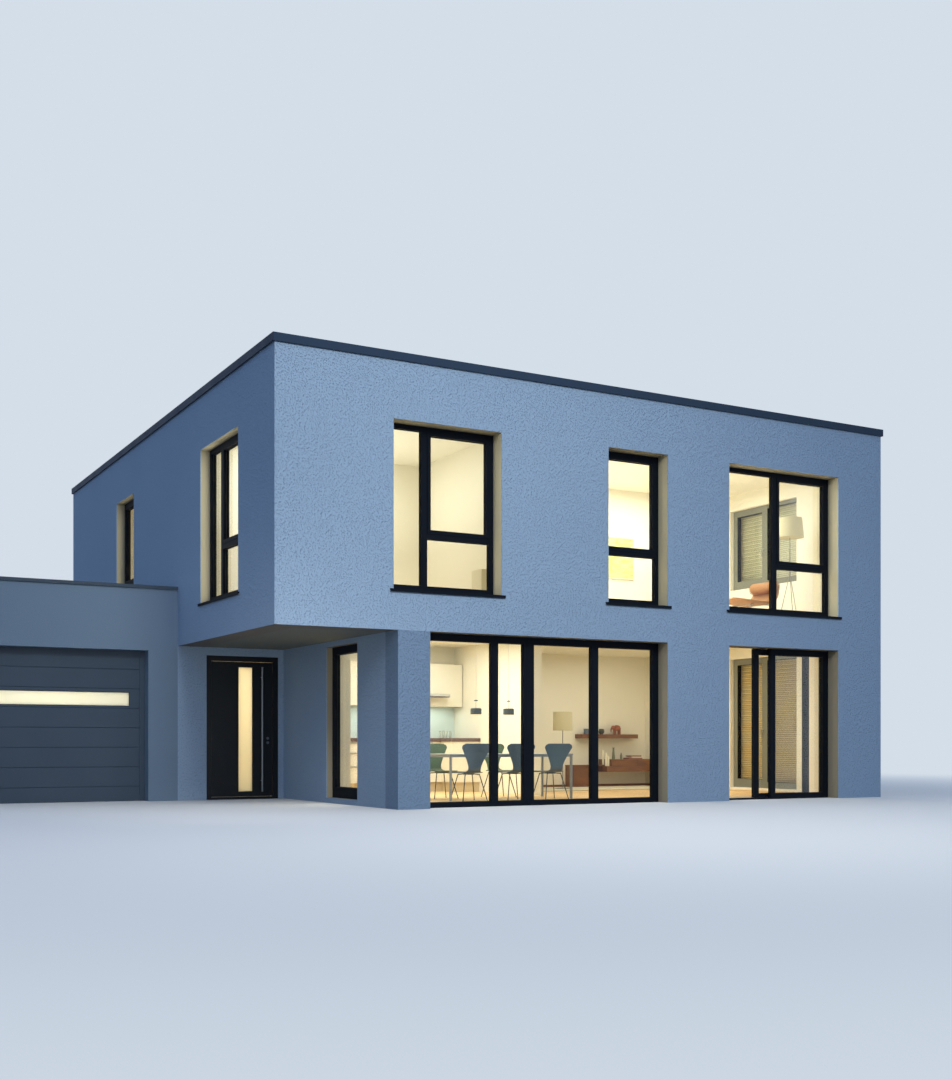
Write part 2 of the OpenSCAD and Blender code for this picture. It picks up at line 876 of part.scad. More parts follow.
module kitchen_units() {
    drawer_gap = 6;
    doors = 4;
    door_width = (kitchen_wall_x - units_x) / doors;
    body_top = worktop_h - worktop_t;
    color(plaster_col) place() {
        difference() {
            union() {
                translate([0, 0, floor_h]) linear_extrude(plinth_h) units_plan(60);
                translate([0, 0, floor_h + plinth_h - eps])
                    linear_extrude(body_top - floor_h - plinth_h + 2 * eps) units_plan(20);
                translate([0, 0, body_top]) linear_extrude(worktop_t) units_plan(0);
            }
            for (z = [body_top - 20, body_top - 200, body_top - 440])
                block(units_x + 20 - eps, kitchen_wall_x - units_d + 20 + eps,
                    kitchen_back_y - units_d + 20 - eps, kitchen_back_y - units_d + 26,
                    z - drawer_gap, z);
        }
        difference() {
            block(units_x, kitchen_wall_x - 20, kitchen_back_y - wall_units_d,
                kitchen_back_y, wall_units_z[0], wall_units_z[1]);
            for (i = [1:doors - 1])
                block(units_x + i * door_width - 3, units_x + i * door_width + 3,
                    kitchen_back_y - wall_units_d - eps, kitchen_back_y - wall_units_d + 6,
                    wall_units_z[0] - eps, wall_units_z[1] + eps);
        }
    }
}

// A flat hood under the wall units, with a slanted lower front edge and two filters
hood_x = [4200, 5190];
hood_z = [1735, 1800];

module cooker_hood() {
    front = kitchen_back_y - units_d;
    back = kitchen_back_y - wall_units_d;
    filter_w = (hood_x[1] - hood_x[0] - 120) / 2;
    color(metal_col) place() difference() {
        translate([hood_x[0], 0, 0])
            rotate([90, 0, 90]) linear_extrude(hood_x[1] - hood_x[0])
                polygon([
                    [front, hood_z[0] + 22], [front + 22, hood_z[0]], [back, hood_z[0]],
                    [back, hood_z[1]], [front, hood_z[1]]
                ]);
        for (i = [0, 1])
            translate([hood_x[0] + 40 + i * (filter_w + 40), front + 50, hood_z[0] - eps])
                cube([filter_w, back - front - 80, 8]);
    }
}

// A rod between two points
module rod(p, q, r) {
    d = q - p;
    translate(p)
        rotate([0, acos(d[2] / norm(d)), atan2(d[1], d[0])]) cylinder(r = r, h = norm(d));
}

// Dining table with a thin top on a steel frame
table_x = [3200, 5385];
table_y = [1200, 2100];
table_top_h = 745;
table_top_t = 24;
table_leg = 32;

module dining_table() {
    color(metal_col) place() union() {
        block(table_x[0], table_x[1], table_y[0], table_y[1],
            table_top_h - table_top_t, table_top_h);
        difference() {
            block(table_x[0] + 6, table_x[1] - 6, table_y[0] + 6, table_y[1] - 6,
                table_top_h - 50, table_top_h - table_top_t + eps);
            block(table_x[0] + 36, table_x[1] - 36, table_y[0] + 36, table_y[1] - 36,
                table_top_h - 51, table_top_h - table_top_t);
        }
        for (x = [table_x[0] + 6, table_x[1] - table_leg - 6],
                y = [table_y[0] + 6, table_y[1] - table_leg - 6])
            block(x, x + table_leg, y, y + table_leg, floor_h, table_top_h - table_top_t + eps);
    }
}

// A shell chair: a moulded seat and back with a narrow waist, on four thin legs.
// It faces +Y, and its origin is on the floor under the middle of the seat
chair_seat_h = 440;
chair_back_h = 860;
chair_w = 490;
shell_t = 12;

// The path of the shell seen from the side, as [y, z], from the seat's front edge
function chair_path() = concat(
    [[225, chair_seat_h - 14], [190, chair_seat_h], [60, chair_seat_h - 6],
        [-70, chair_seat_h - 8]],
    [for (a = [0:15:75]) [-110 - 80 * sin(a), chair_seat_h + 72 - 80 * cos(a)]],
    [[-205, chair_seat_h + 160], [-228, chair_seat_h + 280], [-262, chair_back_h]]
);
function offset_path(p, t) = [for (i = [len(p) - 1:-1:0])
    let (
        a = p[max(i - 1, 0)],
        b = p[min(i + 1, len(p) - 1)],
        d = (b - a) / norm(b - a)
    ) p[i] + t * [-d[1], d[0]]
];

// Half the width of the back at a height above the seat, from 0 at the waist to 1 at the top
chair_waist = 105;
function back_half(k) = chair_waist
    + (chair_w / 2 - chair_waist) * pow(min(1, max(0, (k - 0.12) / 0.72)), 1.25);
function back_top_cut(k) = k < 0.84 ? 0 : 62 * (1 - sqrt(max(0, 1 - pow((k - 0.84) / 0.16, 2))));

module chair_back_outline() {
    low = chair_seat_h + 20;
    ks = [for (i = [0:18]) i / 18];
    right = [for (k = ks) [back_half(k) - back_top_cut(k), low + k * (chair_back_h - low)]];
    polygon(concat(right, [for (i = [len(right) - 1:-1:0]) [-right[i][0], right[i][1]]]));
}

module chair_seat_outline() {
    right = concat(
        [[95, -240], [110, -170]],
        [for (a = [-60:15:60]) [130 + 80 * cos(a), -50 + 60 * sin(a)]],
        [[205, 120]],
        [for (a = [0:15:90]) [150 + 50 * cos(a), 175 + 50 * sin(a)]]
    );
    polygon(concat(right, [for (i = [len(right) - 1:-1:0]) [-right[i][0], right[i][1]]]));
}

// A leg of bent tube: out from the hub under the seat, then down and further out
module chair_leg(x, y) {
    knee = [122 * x, 112 * y - 10, chair_seat_h - 42];
    foot = [208 * x, 202 * y - 10, 4];
    rod([40 * x, 36 * y - 10, chair_seat_h - 32], knee, 8);
    translate(knee) sphere(r = 8.6, $fn = 18);
    rod(knee, foot, 8);
    translate([foot[0], foot[1], 0]) cylinder(r = 12, h = 8);
}

module chair() {
    union() {
        intersection() {
            translate([-chair_w / 2, 0, 0])
                rotate([90, 0, 90]) linear_extrude(chair_w)
                    polygon(concat(chair_path(), offset_path(chair_path(), shell_t)));
            union() {
                translate([0, 300, 0]) rotate([90, 0, 0])
                    linear_extrude(600) chair_back_outline();
                translate([0, 0, chair_seat_h - 60])
                    linear_extrude(81) chair_seat_outline();
            }
        }
        translate([0, -10, chair_seat_h - 44]) cylinder(r = 85, h = 40);
        for (x = [-1, 1], y = [-1, 1]) chair_leg(x, y);
    }
}

near_chairs = [3500, 4270, 4940];
far_chairs = [3580, 4640];

module dining_chairs() {
    color([0.28, 0.36, 0.42]) place() {
        for (x = near_chairs) translate([x, table_y[0] - 20, floor_h]) chair();
        for (x = far_chairs)
            translate([x, table_y[1] + 130, floor_h]) rotate([0, 0, 180]) chair();
    }
}

// Two small pendant lamps over the table: a drum with rounded rims, open below, and a
// small disc on the wire above it
pendants = [[3892, 1650], [4476, 1650]];
pendant_r = 86;
pendant_h = 110;
pendant_z = 1338;

function rim_arc(r, z, from) = [for (a = [from:15:from + 90])
    [pendant_r - r + r * cos(a), z + r * sin(a)]];
function pendant_section(r = 24, mouth = 56, deep = 30) = concat(
    [[0, deep], [mouth, deep], [mouth, 0]],
    rim_arc(r, r, -90), rim_arc(r, pendant_h - r, 0),
    [[0, pendant_h]]
);

module pendant_lamps() {
    disc_z = 1563;
    top = pendant_z + pendant_h;
    color(metal_col) place()
        for (p = pendants) translate(p) union() {
            translate([0, 0, pendant_z]) rotate_extrude() polygon(pendant_section());
            translate([0, 0, top - eps]) cylinder(r = 2.5, h = ceiling_h - top + eps);
            translate([0, 0, disc_z - 8]) cylinder(r = 28, h = 16);
            translate([0, 0, ceiling_h - 24]) cylinder(r = 50, h = 24);
        }
}

// Floor lamps: [x, y, floor, foot of the shade, top of the shade, lower and upper radius,
// height where the stem forks into three legs, or 0 for a round foot]
rug_t = 14;
floor_lamp_places = [
    [7520, 4800, floor_h + rug_t, 1150, 1500, 186, 180, 0],
    [9830, 1150, upper_floor_h, 4460, 4800, 240, 205, 3850]
];

module round_foot() {
    cylinder(r = 140, h = 8);
    translate([0, 0, 7]) cylinder(r1 = 136, r2 = 20, h = 14);
}

// Three thin legs that spread from a collar under the stem
module three_legs(h, spread = 210) {
    for (a = [30:120:270]) {
        rod([0, 0, h], [spread * cos(a), spread * sin(a), 4], 6);
        translate([spread * cos(a), spread * sin(a), 0]) cylinder(r = 10, h = 8);
    }
    translate([0, 0, h - 26]) cylinder(r = 15, h = 44);
}

module floor_lamps() {
    color([0.90, 0.86, 0.74]) place()
        for (l = floor_lamp_places) translate([l[0], l[1], 0]) union() {
            fork = l[7] > 0;
            stem_foot = fork ? l[7] : l[2] + 15;
            translate([0, 0, l[2]]) {
                if (fork) three_legs(l[7] - l[2]);
                else round_foot();
            }
            translate([0, 0, stem_foot]) cylinder(r = 8, h = l[3] + 15 - stem_foot);
            translate([0, 0, l[3]]) difference() {
                cylinder(r1 = l[5], r2 = l[6], h = l[4] - l[3]);
                translate([0, 0, -eps]) cylinder(r1 = l[5] - 6, r2 = l[5] - 6, h = 10);
                translate([0, 0, l[4] - l[3] - 9]) cylinder(r = l[6] - 6, h = 10);
            }
        }
}

// A wall shelf, and low units: blocks hung on the living room wall with a thin board that
// runs on to a box on the floor, and one unit upstairs
module wall_shelf() {
    color(wood_col) place()
        block(8655, 10035, living_back_y - 250, living_back_y, 1010, 1093);
}

sideboard_x = 9110;
sideboard_d = 480;
low_box_x = [8420, 8860];
low_box_d = 300;
upper_box_y = [1045, 1345];
upper_box_d = 420;

module sideboards() {
    side = house_w - wall_t;
    front = living_back_y - sideboard_d;
    color(wood_col) place() {
        union() {
            block(sideboard_x, side, front, living_back_y, 338, 454);
            difference() {
                block(sideboard_x + 120, side, front, living_back_y, 453, 586);
                block(sideboard_x + 740, sideboard_x + 746, front - eps, front + 6, 460, 587);
            }
            block(low_box_x[0], sideboard_x + 150, living_back_y - low_box_d - 20,
                living_back_y, 454, 476);
            block(low_box_x[0] + 6, low_box_x[1], living_back_y - low_box_d,
                living_back_y, floor_h, 455);
        }
        union() {
            block(upper_wall_x - upper_box_d, upper_wall_x, upper_box_y[0], upper_box_y[1],
                upper_floor_h + 60, 3510);
            block(upper_wall_x - upper_box_d + 30, upper_wall_x, upper_box_y[0] + 20,
                upper_box_y[1] - 20, upper_floor_h, upper_floor_h + 61);
        }
    }
}

// A low lounge chair that faces the left wall: a bent shell that narrows to its front, a
// rolled head cushion and four thin legs
lounge_w = 720;

// The path of the shell's upper side seen from the side, as [y, z], from its front edge
function lounge_path() = [
    [430, 440], [330, 408], [180, 384], [0, 370], [-160, 372], [-260, 396],
    [-335, 462], [-388, 570], [-420, 690]
];

module lounge_outline() {
    polygon(concat(
        [for (a = [0:15:180]) [lounge_w / 2 * cos(a), 10 + 422 * sin(a)]],
        [
            [-lounge_w / 2, -330], [-lounge_w / 2 + 90, -460],
            [lounge_w / 2 - 90, -460], [lounge_w / 2, -330]
        ]
    ));
}

module head_roll(l, r, c) {
    rotate([0, 90, 0]) rotate_extrude() polygon(concat(
        [[0, -l / 2]],
        [for (a = [-90:15:0]) [r - c + c * cos(a), c - l / 2 + c * sin(a)]],
        [for (a = [0:15:90]) [r - c + c * cos(a), l / 2 - c + c * sin(a)]],
        [[0, l / 2]]
    ));
}

module lounge_chair() {
    color([0.72, 0.42, 0.25]) place()
        translate([9075, 1330, upper_floor_h]) rotate([0, 0, 90]) union() {
            intersection() {
                translate([-lounge_w / 2, 0, 0])
                    rotate([90, 0, 90]) linear_extrude(lounge_w)
                        polygon(concat(lounge_path(), offset_path(lounge_path(), 42)));
                linear_extrude(800) lounge_outline();
            }
            translate([0, -338, 655]) head_roll(640, 98, 60);
            for (x = [-1, 1]) {
                rod([250 * x, 170, 368], [285 * x, 260, 5], 9);
                rod([250 * x, -235, 370], [285 * x, -330, 5], 9);
                for (y = [260, -330]) translate([285 * x, y, 0]) cylinder(r = 13, h = 9);
            }
        }
}

module wall_picture() {
    y = upper_back_y;
    color([0.90, 0.86, 0.66]) place() difference() {
        block(7600, 8500, y - 26, y, 3945, 4720);
        block(7620, 8480, y - 27, y - 20, 3965, 4700);
    }
}

module rug() {
    color([0.93, 0.90, 0.82]) place()
        block(6200, 10000, 4000, 5550, floor_h, floor_h + rug_t);
}

ground_floor_slab();
upper_floor_slab();
roof_slabs();
roof_edges();
porch_soffit();
porch_column();
porch_side_wall();
entrance_walls();
entrance_lintel();
front_piers();
ground_left_wall();
ground_back_wall();
ground_right_wall();
upper_front_wall();
upper_left_wall();
upper_back_wall();
upper_right_wall();
garage_front_wall();
garage_left_wall();
garage_back_wall();
garage_door();
garage_door_frame();
garage_door_glass();
terrace_glazing_frame();
terrace_glazing_glass();
terrace_door_frame();
terrace_door_leaf();
terrace_door_glass();
terrace_door_handle();
entrance_door_frame();
entrance_door_leaf();
entrance_door_glass();
entrance_door_handles();
window_frames();
window_glass();
window_sills();
window_blinds();
partitions();
kitchen_units();
cooker_hood();
dining_table();
dining_chairs();
pendant_lamps();
floor_lamps();
wall_shelf();
sideboards();
lounge_chair();
wall_picture();
rug();
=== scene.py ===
"""The looks of a detached house of two storeys with a flat roof, a porch and a garage."""

import math
import random

import bmesh
import bpy
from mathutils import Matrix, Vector


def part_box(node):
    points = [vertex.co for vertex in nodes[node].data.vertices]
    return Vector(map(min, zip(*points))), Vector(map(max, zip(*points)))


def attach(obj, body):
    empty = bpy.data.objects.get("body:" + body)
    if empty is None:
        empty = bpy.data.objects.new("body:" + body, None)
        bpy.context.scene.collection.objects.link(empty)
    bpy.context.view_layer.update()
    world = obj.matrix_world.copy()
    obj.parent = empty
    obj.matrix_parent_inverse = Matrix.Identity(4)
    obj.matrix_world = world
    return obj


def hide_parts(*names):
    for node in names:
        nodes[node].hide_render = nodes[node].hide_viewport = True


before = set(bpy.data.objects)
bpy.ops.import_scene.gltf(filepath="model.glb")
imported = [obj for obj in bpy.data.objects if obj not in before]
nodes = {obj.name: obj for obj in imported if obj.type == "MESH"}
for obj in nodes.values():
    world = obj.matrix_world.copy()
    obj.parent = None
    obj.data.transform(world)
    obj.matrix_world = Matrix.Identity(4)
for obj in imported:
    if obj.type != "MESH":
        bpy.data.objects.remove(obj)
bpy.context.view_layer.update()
chance = random.Random(7)

# Places. The house frame has X along the front from its left corner, Y into the house
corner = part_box("upper_front_wall")[0]
column_lo, column_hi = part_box("porch_column")
WALL = column_hi.y - column_lo.y
PORCH_X = column_lo.x - corner.x
HOUSE_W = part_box("upper_front_wall")[1].x - corner.x
HOUSE_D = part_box("upper_left_wall")[1].y - corner.y
PORCH_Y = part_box("entrance_walls")[0].y - corner.y
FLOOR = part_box("ground_floor_slab")[1].z
UPPER_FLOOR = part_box("upper_floor_slab")[1].z
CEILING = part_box("upper_floor_slab")[0].z
UPPER_CEILING = 5.6
KITCHEN_BACK = 5.53
KITCHEN_RIGHT = 5.75
LIVING_BACK = 6.10
# How deep the reveals are in the front, right and back walls, and in the left wall
REVEAL = 0.26
LEFT_REVEAL = 0.17
# Limits that run along a face are set this far past it
PAST = 0.01


def at(x, y, z=0.0):
    """A point of the house frame, in the frame of the part."""
    return Vector((corner.x + x, corner.y + y, z))


def shown(r, g, b):
    """A colour as a screen shows it, from 0 to 255, as the values that a shader takes."""
    def linear(v):
        v /= 255
        return v / 12.92 if v <= 0.04045 else ((v + 0.055) / 1.055) ** 2.4
    return (linear(r), linear(g), linear(b), 1.0)


# Materials

class Paint:
    """A node material in the making. Each call adds nodes and gives back an output."""

    def __init__(self, name):
        self.material = bpy.data.materials.new(name)
        self.material.use_nodes = True
        self.tree = self.material.node_tree
        self.tree.nodes.clear()
        points = self.add("ShaderNodeTexCoord").outputs["Object"]
        self.points = self.vector("ADD", points, (-corner.x, -corner.y, 0.0))
        split = self.add("ShaderNodeSeparateXYZ")
        self.put(split.inputs[0], self.points)
        self.x, self.y, self.z = split.outputs

    def add(self, kind, **settings):
        node = self.tree.nodes.new(kind)
        for key, value in settings.items():
            setattr(node, key, value)
        return node

    def put(self, socket, value):
        """Sets an input, or links it where the value is the output of another node."""
        if isinstance(value, bpy.types.NodeSocket):
            self.tree.links.new(value, socket)
        else:
            socket.default_value = value

    def calc(self, operation, a, b=0.0):
        node = self.add("ShaderNodeMath", operation=operation)
        self.put(node.inputs[0], a)
        self.put(node.inputs[1], b)
        return node.outputs[0]

    def vector(self, operation, a, b):
        node = self.add("ShaderNodeVectorMath", operation=operation)
        self.put(node.inputs[0], a)
        self.put(node.inputs[1], b)
        return node.outputs[0]

    def joined(self, x, y, z):
        node = self.add("ShaderNodeCombineXYZ")
        for socket, value in zip(node.inputs, (x, y, z)):
            self.put(socket, value)
        return node.outputs[0]

    def mapped(self, points, scale=(1, 1, 1), turn=(0, 0, 0)):
        node = self.add("ShaderNodeMapping")
        self.put(node.inputs["Vector"], points)
        node.inputs["Scale"].default_value = scale
        node.inputs["Rotation"].default_value = [math.radians(a) for a in turn]
        return node.outputs[0]

    def noise(self, scale, detail=2.0, rough=0.5, bend=0.0, points=None):
        node = self.add("ShaderNodeTexNoise")
        self.put(node.inputs["Vector"], points or self.points)
        node.inputs["Scale"].default_value = scale
        node.inputs["Detail"].default_value = detail
        node.inputs["Roughness"].default_value = rough
        node.inputs["Distortion"].default_value = bend
        return node.outputs["Fac"]

    def cells(self, scale, feature="F1", points=None, out="Distance"):
        node = self.add("ShaderNodeTexVoronoi", feature=feature)
        self.put(node.inputs["Vector"], points or self.points)
        node.inputs["Scale"].default_value = scale
        return node.outputs[out]

    def step(self, value, low, high, to_low=0.0, to_high=1.0):
        """Runs smoothly from one value to another as value goes from low to high."""
        node = self.add("ShaderNodeMapRange", interpolation_type="SMOOTHSTEP")
        for socket, v in zip(node.inputs, (value, low, high, to_low, to_high)):
            self.put(socket, v)
        return node.outputs[0]

    def mix(self, share, a, b):
        node = self.add("ShaderNodeMix", data_type="RGBA")
        for socket, v in zip((node.inputs[0], node.inputs[6], node.inputs[7]), (share, a, b)):
            self.put(socket, v)
        return node.outputs[2]

    def bump(self, height, depth):
        node = self.add("ShaderNodeBump")
        self.put(node.inputs["Height"], height)
        node.inputs["Distance"].default_value = depth
        return node.outputs[0]

    def blend(self, share, first, second):
        """Two shaders mixed."""
        node = self.add("ShaderNodeMixShader")
        for socket, value in zip(node.inputs, (share, first.outputs[0], second.outputs[0])):
            self.put(socket, value)
        return node.outputs[0]

    def facing(self, axis):
        """How far the surface faces along an axis of the part, from -1 to 1."""
        normal = self.add("ShaderNodeNewGeometry").outputs["Normal"]
        split = self.add("ShaderNodeSeparateXYZ")
        self.put(split.inputs[0], normal)
        return split.outputs[axis]

    def within(self, x0, x1, y0, y1, z0=-1.0, z1=9.0):
        """1 inside a box of the house frame and 0 outside it."""
        share = None
        for value, low, high in ((self.x, x0, x1), (self.y, y0, y1), (self.z, z0, z1)):
            both = self.between(value, low, high)
            share = both if share is None else self.calc("MULTIPLY", share, both)
        return share

    def between(self, value, low, high):
        """1 where a value lies between two limits and 0 elsewhere."""
        return self.calc("MULTIPLY", self.calc("GREATER_THAN", value, low),
                         self.calc("LESS_THAN", value, high))

    def end(self, shader):
        out = self.add("ShaderNodeOutputMaterial")
        self.put(out.inputs["Surface"], shader)
        return self.material

    def solid(self, color, rough=0.5, metal=0.0, normal=None, **sockets):
        """The usual surface. Further sockets are named with _ for each space."""
        node = self.add("ShaderNodeBsdfPrincipled")
        self.put(node.inputs["Base Color"], color)
        self.put(node.inputs["Roughness"], rough)
        self.put(node.inputs["Metallic"], metal)
        if normal is not None:
            self.put(node.inputs["Normal"], normal)
        for name, value in sockets.items():
            self.put(node.inputs[name.replace("_", " ")], value)
        return self.end(node.outputs[0])


def rooms(p):
    """1 on the faces that look into the rooms, 0 on the outside of the walls."""
    front = REVEAL + PAST
    far, deep = HOUSE_W - front, HOUSE_D - front
    low = CEILING + PAST
    upper = p.within(LEFT_REVEAL, far, front, deep, low, UPPER_CEILING + PAST)
    right = p.within(PORCH_X + 0.12, far, front, deep, -1, low)
    left = p.within(LEFT_REVEAL, PORCH_X + WALL, PORCH_Y + 0.3, deep, -1, low)
    return p.calc("MAXIMUM", upper, p.calc("MAXIMUM", right, left))


def plaster_color(p):
    cloud = p.noise(0.7, 3.0)
    return p.mix(cloud, shown(244, 238, 218), shown(250, 245, 228))


def reveals(p):
    """1 on the faces beside the windows, between the wall face and the frames."""
    low = CEILING + PAST
    skin = 0.012
    far, deep = HOUSE_W - 0.3, HOUSE_D - 0.3
    share = p.within(0.3, far, skin, REVEAL, low)
    for box in ((PORCH_X + 0.44, far, skin, REVEAL, -1, low),
                (skin, LEFT_REVEAL, 0.3, deep, low),
                (HOUSE_W - REVEAL, HOUSE_W - skin, 0.3, deep),
                (0.3, far, HOUSE_D - REVEAL, HOUSE_D - skin),
                (PORCH_X + skin, PORCH_X + 0.12, 1.0, 2.9, -1, low)):
        share = p.calc("MAXIMUM", share, p.within(*box))
    return share


def stucco(name, light, dark, relief=1.0):
    """Scratched render outside, smooth painted plaster on the faces towards the rooms.

    The reveals are smooth. They take a warm beige that paints the glow of the lit rooms, darker on
    the ground floor and darker still on their heads as painted shade. The underside that hangs over
    the porch is smooth and grey as painted shade.
    relief scales the painted shade in the scratches and their depth.
    """
    p = Paint(name)
    tint, depth = 0.33 * relief, 0.0066 * relief
    inner = rooms(p)
    beside = reveals(p)
    wall = p.joined(p.calc("ADD", p.x, p.y), 0.0, p.z)
    slanted = p.mapped(p.mapped(wall, turn=(0, -45, 0)), (1.0, 1.0, 1.9))
    marks = p.step(p.noise(40.0, 2.0, 0.5, 0.2, slanted), 0.55, 0.65)
    grain = p.noise(140.0, 3.0, 0.65)
    base = p.mix(p.noise(0.55, 2.0), dark, light)
    # Darker in the scratches: painted shade in their grooves
    marked = p.mix(p.calc("MULTIPLY", marks, tint), base, shown(88, 108, 134))
    # Reveal colours: a warm beige as a painted glow of the lit rooms upstairs, and a darker one as
    # painted shade on the ground floor
    sides = p.mix(p.calc("LESS_THAN", p.z, CEILING), shown(186, 180, 156), shown(154, 147, 130))
    # The heads of the reveals, facing down, are darker as painted shade
    under = p.calc("LESS_THAN", p.facing("Z"), -0.5)
    shaded_heads = p.calc("MULTIPLY", under, p.calc("GREATER_THAN", p.x, 0.2))
    sides = p.mix(p.calc("MULTIPLY", shaded_heads, 0.5), sides, shown(96, 82, 54))
    # The underside over the porch is grey as painted shade
    shaded_overhang = p.calc("MULTIPLY", under, p.within(-0.1, PORCH_X + 0.1, -0.1, PORCH_Y, 2.3, CEILING))
    marked = p.mix(shaded_overhang, marked, shown(122, 120, 118))
    color = p.mix(inner, p.mix(beside, marked, sides), plaster_color(p))
    smooth = p.calc("MAXIMUM", p.calc("MAXIMUM", inner, beside), shaded_overhang)
    rise = p.calc("SUBTRACT", p.calc("MULTIPLY", grain, 0.35), marks)
    rise = p.calc("MULTIPLY", rise, p.calc("SUBTRACT", 1.0, smooth))
    return p.solid(color, 0.92, normal=p.bump(rise, depth), Specular_IOR_Level=0.2)


def soffit_render_in_painted_shade():
    """Fine smooth render in a neutral grey that paints the shade under the upper storey."""
    p = Paint("soffit_render_in_painted_shade")
    color = p.mix(p.noise(0.8, 2.0), shown(114, 119, 115), shown(120, 124, 119))
    return p.solid(color, 0.9, normal=p.bump(p.noise(120.0, 3.0, 0.6), 0.0015))


def plaster():
    p = Paint("painted_plaster")
    roller = p.noise(60.0, 3.0, 0.6)
    return p.solid(plaster_color(p), 0.85, normal=p.bump(roller, 0.0008), Specular_IOR_Level=0.25)


def boards(p):
    """Light oak boards along X: the colour and the height of the joints."""
    node = p.add("ShaderNodeTexBrick")
    node.offset = 0.37
    for key, value in (("Vector", p.points), ("Scale", 1.0), ("Brick Width", 1.9),
                       ("Row Height", 0.16), ("Mortar Size", 0.0022), ("Mortar Smooth", 0.2),
                       ("Color1", shown(238, 197, 134)), ("Color2", shown(248, 211, 154)),
                       ("Mortar", shown(120, 82, 48))):
        p.put(node.inputs[key], value)
    grain = p.noise(9.0, 5.0, 0.6, 0.4, p.mapped(p.points, (0.5, 9.0, 1.0)))
    dark = p.mix(0.5, node.outputs["Color"], shown(190, 142, 90))
    color = p.mix(p.step(grain, 0.42, 0.75, 0.0, 0.55), node.outputs["Color"], dark)
    return color, p.calc("SUBTRACT", 1.0, node.outputs["Fac"])


def floors():
    """Oak boards, paler upstairs, with plaster below, and bare screed in the garage."""
    p = Paint("floor_slab")
    wood, joints = boards(p)
    top = p.calc("GREATER_THAN", p.facing("Z"), 0.5)
    garage = p.calc("LESS_THAN", p.x, 0.05)
    screed = p.mix(p.noise(3.0, 5.0, 0.65), shown(150, 150, 146), shown(172, 171, 166))
    upstairs = p.calc("GREATER_THAN", p.z, CEILING)
    wood = p.mix(p.calc("MULTIPLY", upstairs, 0.6), wood, shown(238, 228, 208))
    color = p.mix(top, plaster_color(p), p.mix(garage, wood, screed))
    return p.solid(color, 0.42, normal=p.bump(joints, 0.0015), Specular_IOR_Level=0.4)


def roofing():
    """Washed gravel on top of the roof slabs, plaster underneath."""
    p = Paint("roof_gravel")
    top = p.calc("GREATER_THAN", p.facing("Z"), 0.5)
    stones = p.cells(26.0)
    tint = p.cells(26.0, out="Color")
    grey = p.mix(tint, shown(118, 122, 126), shown(178, 178, 172))
    gaps = p.step(stones, 0.42, 0.72)
    gravel = p.mix(gaps, grey, shown(62, 64, 66))
    color = p.mix(top, plaster_color(p), gravel)
    rise = p.calc("MULTIPLY", top, p.calc("SUBTRACT", 1.0, stones))
    return p.solid(color, 0.9, normal=p.bump(rise, 0.02))


def orange_peel(p):
    """The fine skin of a powder coat."""
    return p.bump(p.noise(420.0, 2.0), 0.0006)


def coat(p, tones, rough, shine):
    """Powder-coated metal: a fine orange-peel skin and slight wear."""
    worn = p.step(p.noise(2.2, 4.0, 0.6), 0.3, 0.7, rough - 0.05, rough + 0.06)
    return p.solid(tones, worn, normal=orange_peel(p), Specular_IOR_Level=shine)


def coated(name, color, tone, rough, shine):
    p = Paint(name)
    return coat(p, p.mix(p.noise(1.3, 3.0), color, tone), rough, shine)


def roof_sheet():
    """Coated sheet of the roof edges: slate blue on the house, a paler grey on the garage."""
    p = Paint("slate_blue_sheet")
    grain = p.noise(1.3, 3.0)
    house = p.mix(grain, shown(45, 60, 81), shown(51, 67, 89))
    garage = p.mix(grain, shown(70, 83, 98), shown(77, 90, 105))
    upstairs = p.calc("GREATER_THAN", p.z, CEILING + 1.0)
    return coat(p, p.mix(upstairs, garage, house), 0.62, 0.12)


def frame_coat():
    """Anthracite outside and a lighter grey on the faces towards the rooms."""
    p = Paint("anthracite_coat")
    grain = p.noise(1.3, 3.0)
    outside = p.mix(grain, shown(14, 19, 28), shown(18, 24, 34))
    inside = p.mix(grain, shown(126, 126, 112), shown(134, 134, 120))
    share = None
    for axis, value, low, high, sign in (("X", p.x, HOUSE_W - 0.5, HOUSE_W, "LESS_THAN"),
                                         ("X", p.x, 0.0, 0.5, "GREATER_THAN"),
                                         ("Y", p.y, HOUSE_D - 0.5, HOUSE_D, "LESS_THAN"),
                                         ("Y", p.y, 0.25, 0.5, "GREATER_THAN")):
        turned = p.calc(sign, p.facing(axis), 0.5 if sign == "GREATER_THAN" else -0.5)
        both = p.calc("MULTIPLY", turned, p.between(value, low, high))
        share = both if share is None else p.calc("MAXIMUM", share, both)
    color = p.mix(share, outside, inside)
    return p.solid(color, 0.6, normal=orange_peel(p), Specular_IOR_Level=0.1)


def brushed(name, color, rough, along=(1, 1, 40)):
    p = Paint(name)
    lines = p.noise(30.0, 3.0, 0.6, 0.0, p.mapped(p.points, along))
    tint = p.mix(lines, color, tuple(min(1.0, c * 1.15) for c in color[:3]) + (1.0,))
    surface = p.step(lines, 0.2, 0.8, rough - 0.08, rough + 0.08)
    return p.solid(tint, surface, 1.0, p.bump(lines, 0.0003))


def clear_glass():
    """Glass that lets light and sight straight through and mirrors a little."""
    p = Paint("clear_glass")
    through = p.add("ShaderNodeBsdfTransparent")
    through.inputs["Color"].default_value = (0.95, 0.955, 0.94, 1.0)
    mirror = p.add("ShaderNodeBsdfGlossy")
    mirror.inputs["Color"].default_value = (1.0, 1.0, 1.0, 1.0)
    mirror.inputs["Roughness"].default_value = 0.02
    fresnel = p.add("ShaderNodeFresnel")
    fresnel.inputs["IOR"].default_value = 1.45
    share = p.calc("MULTIPLY", fresnel.outputs[0], 0.22)
    return p.end(p.blend(share, through, mirror))


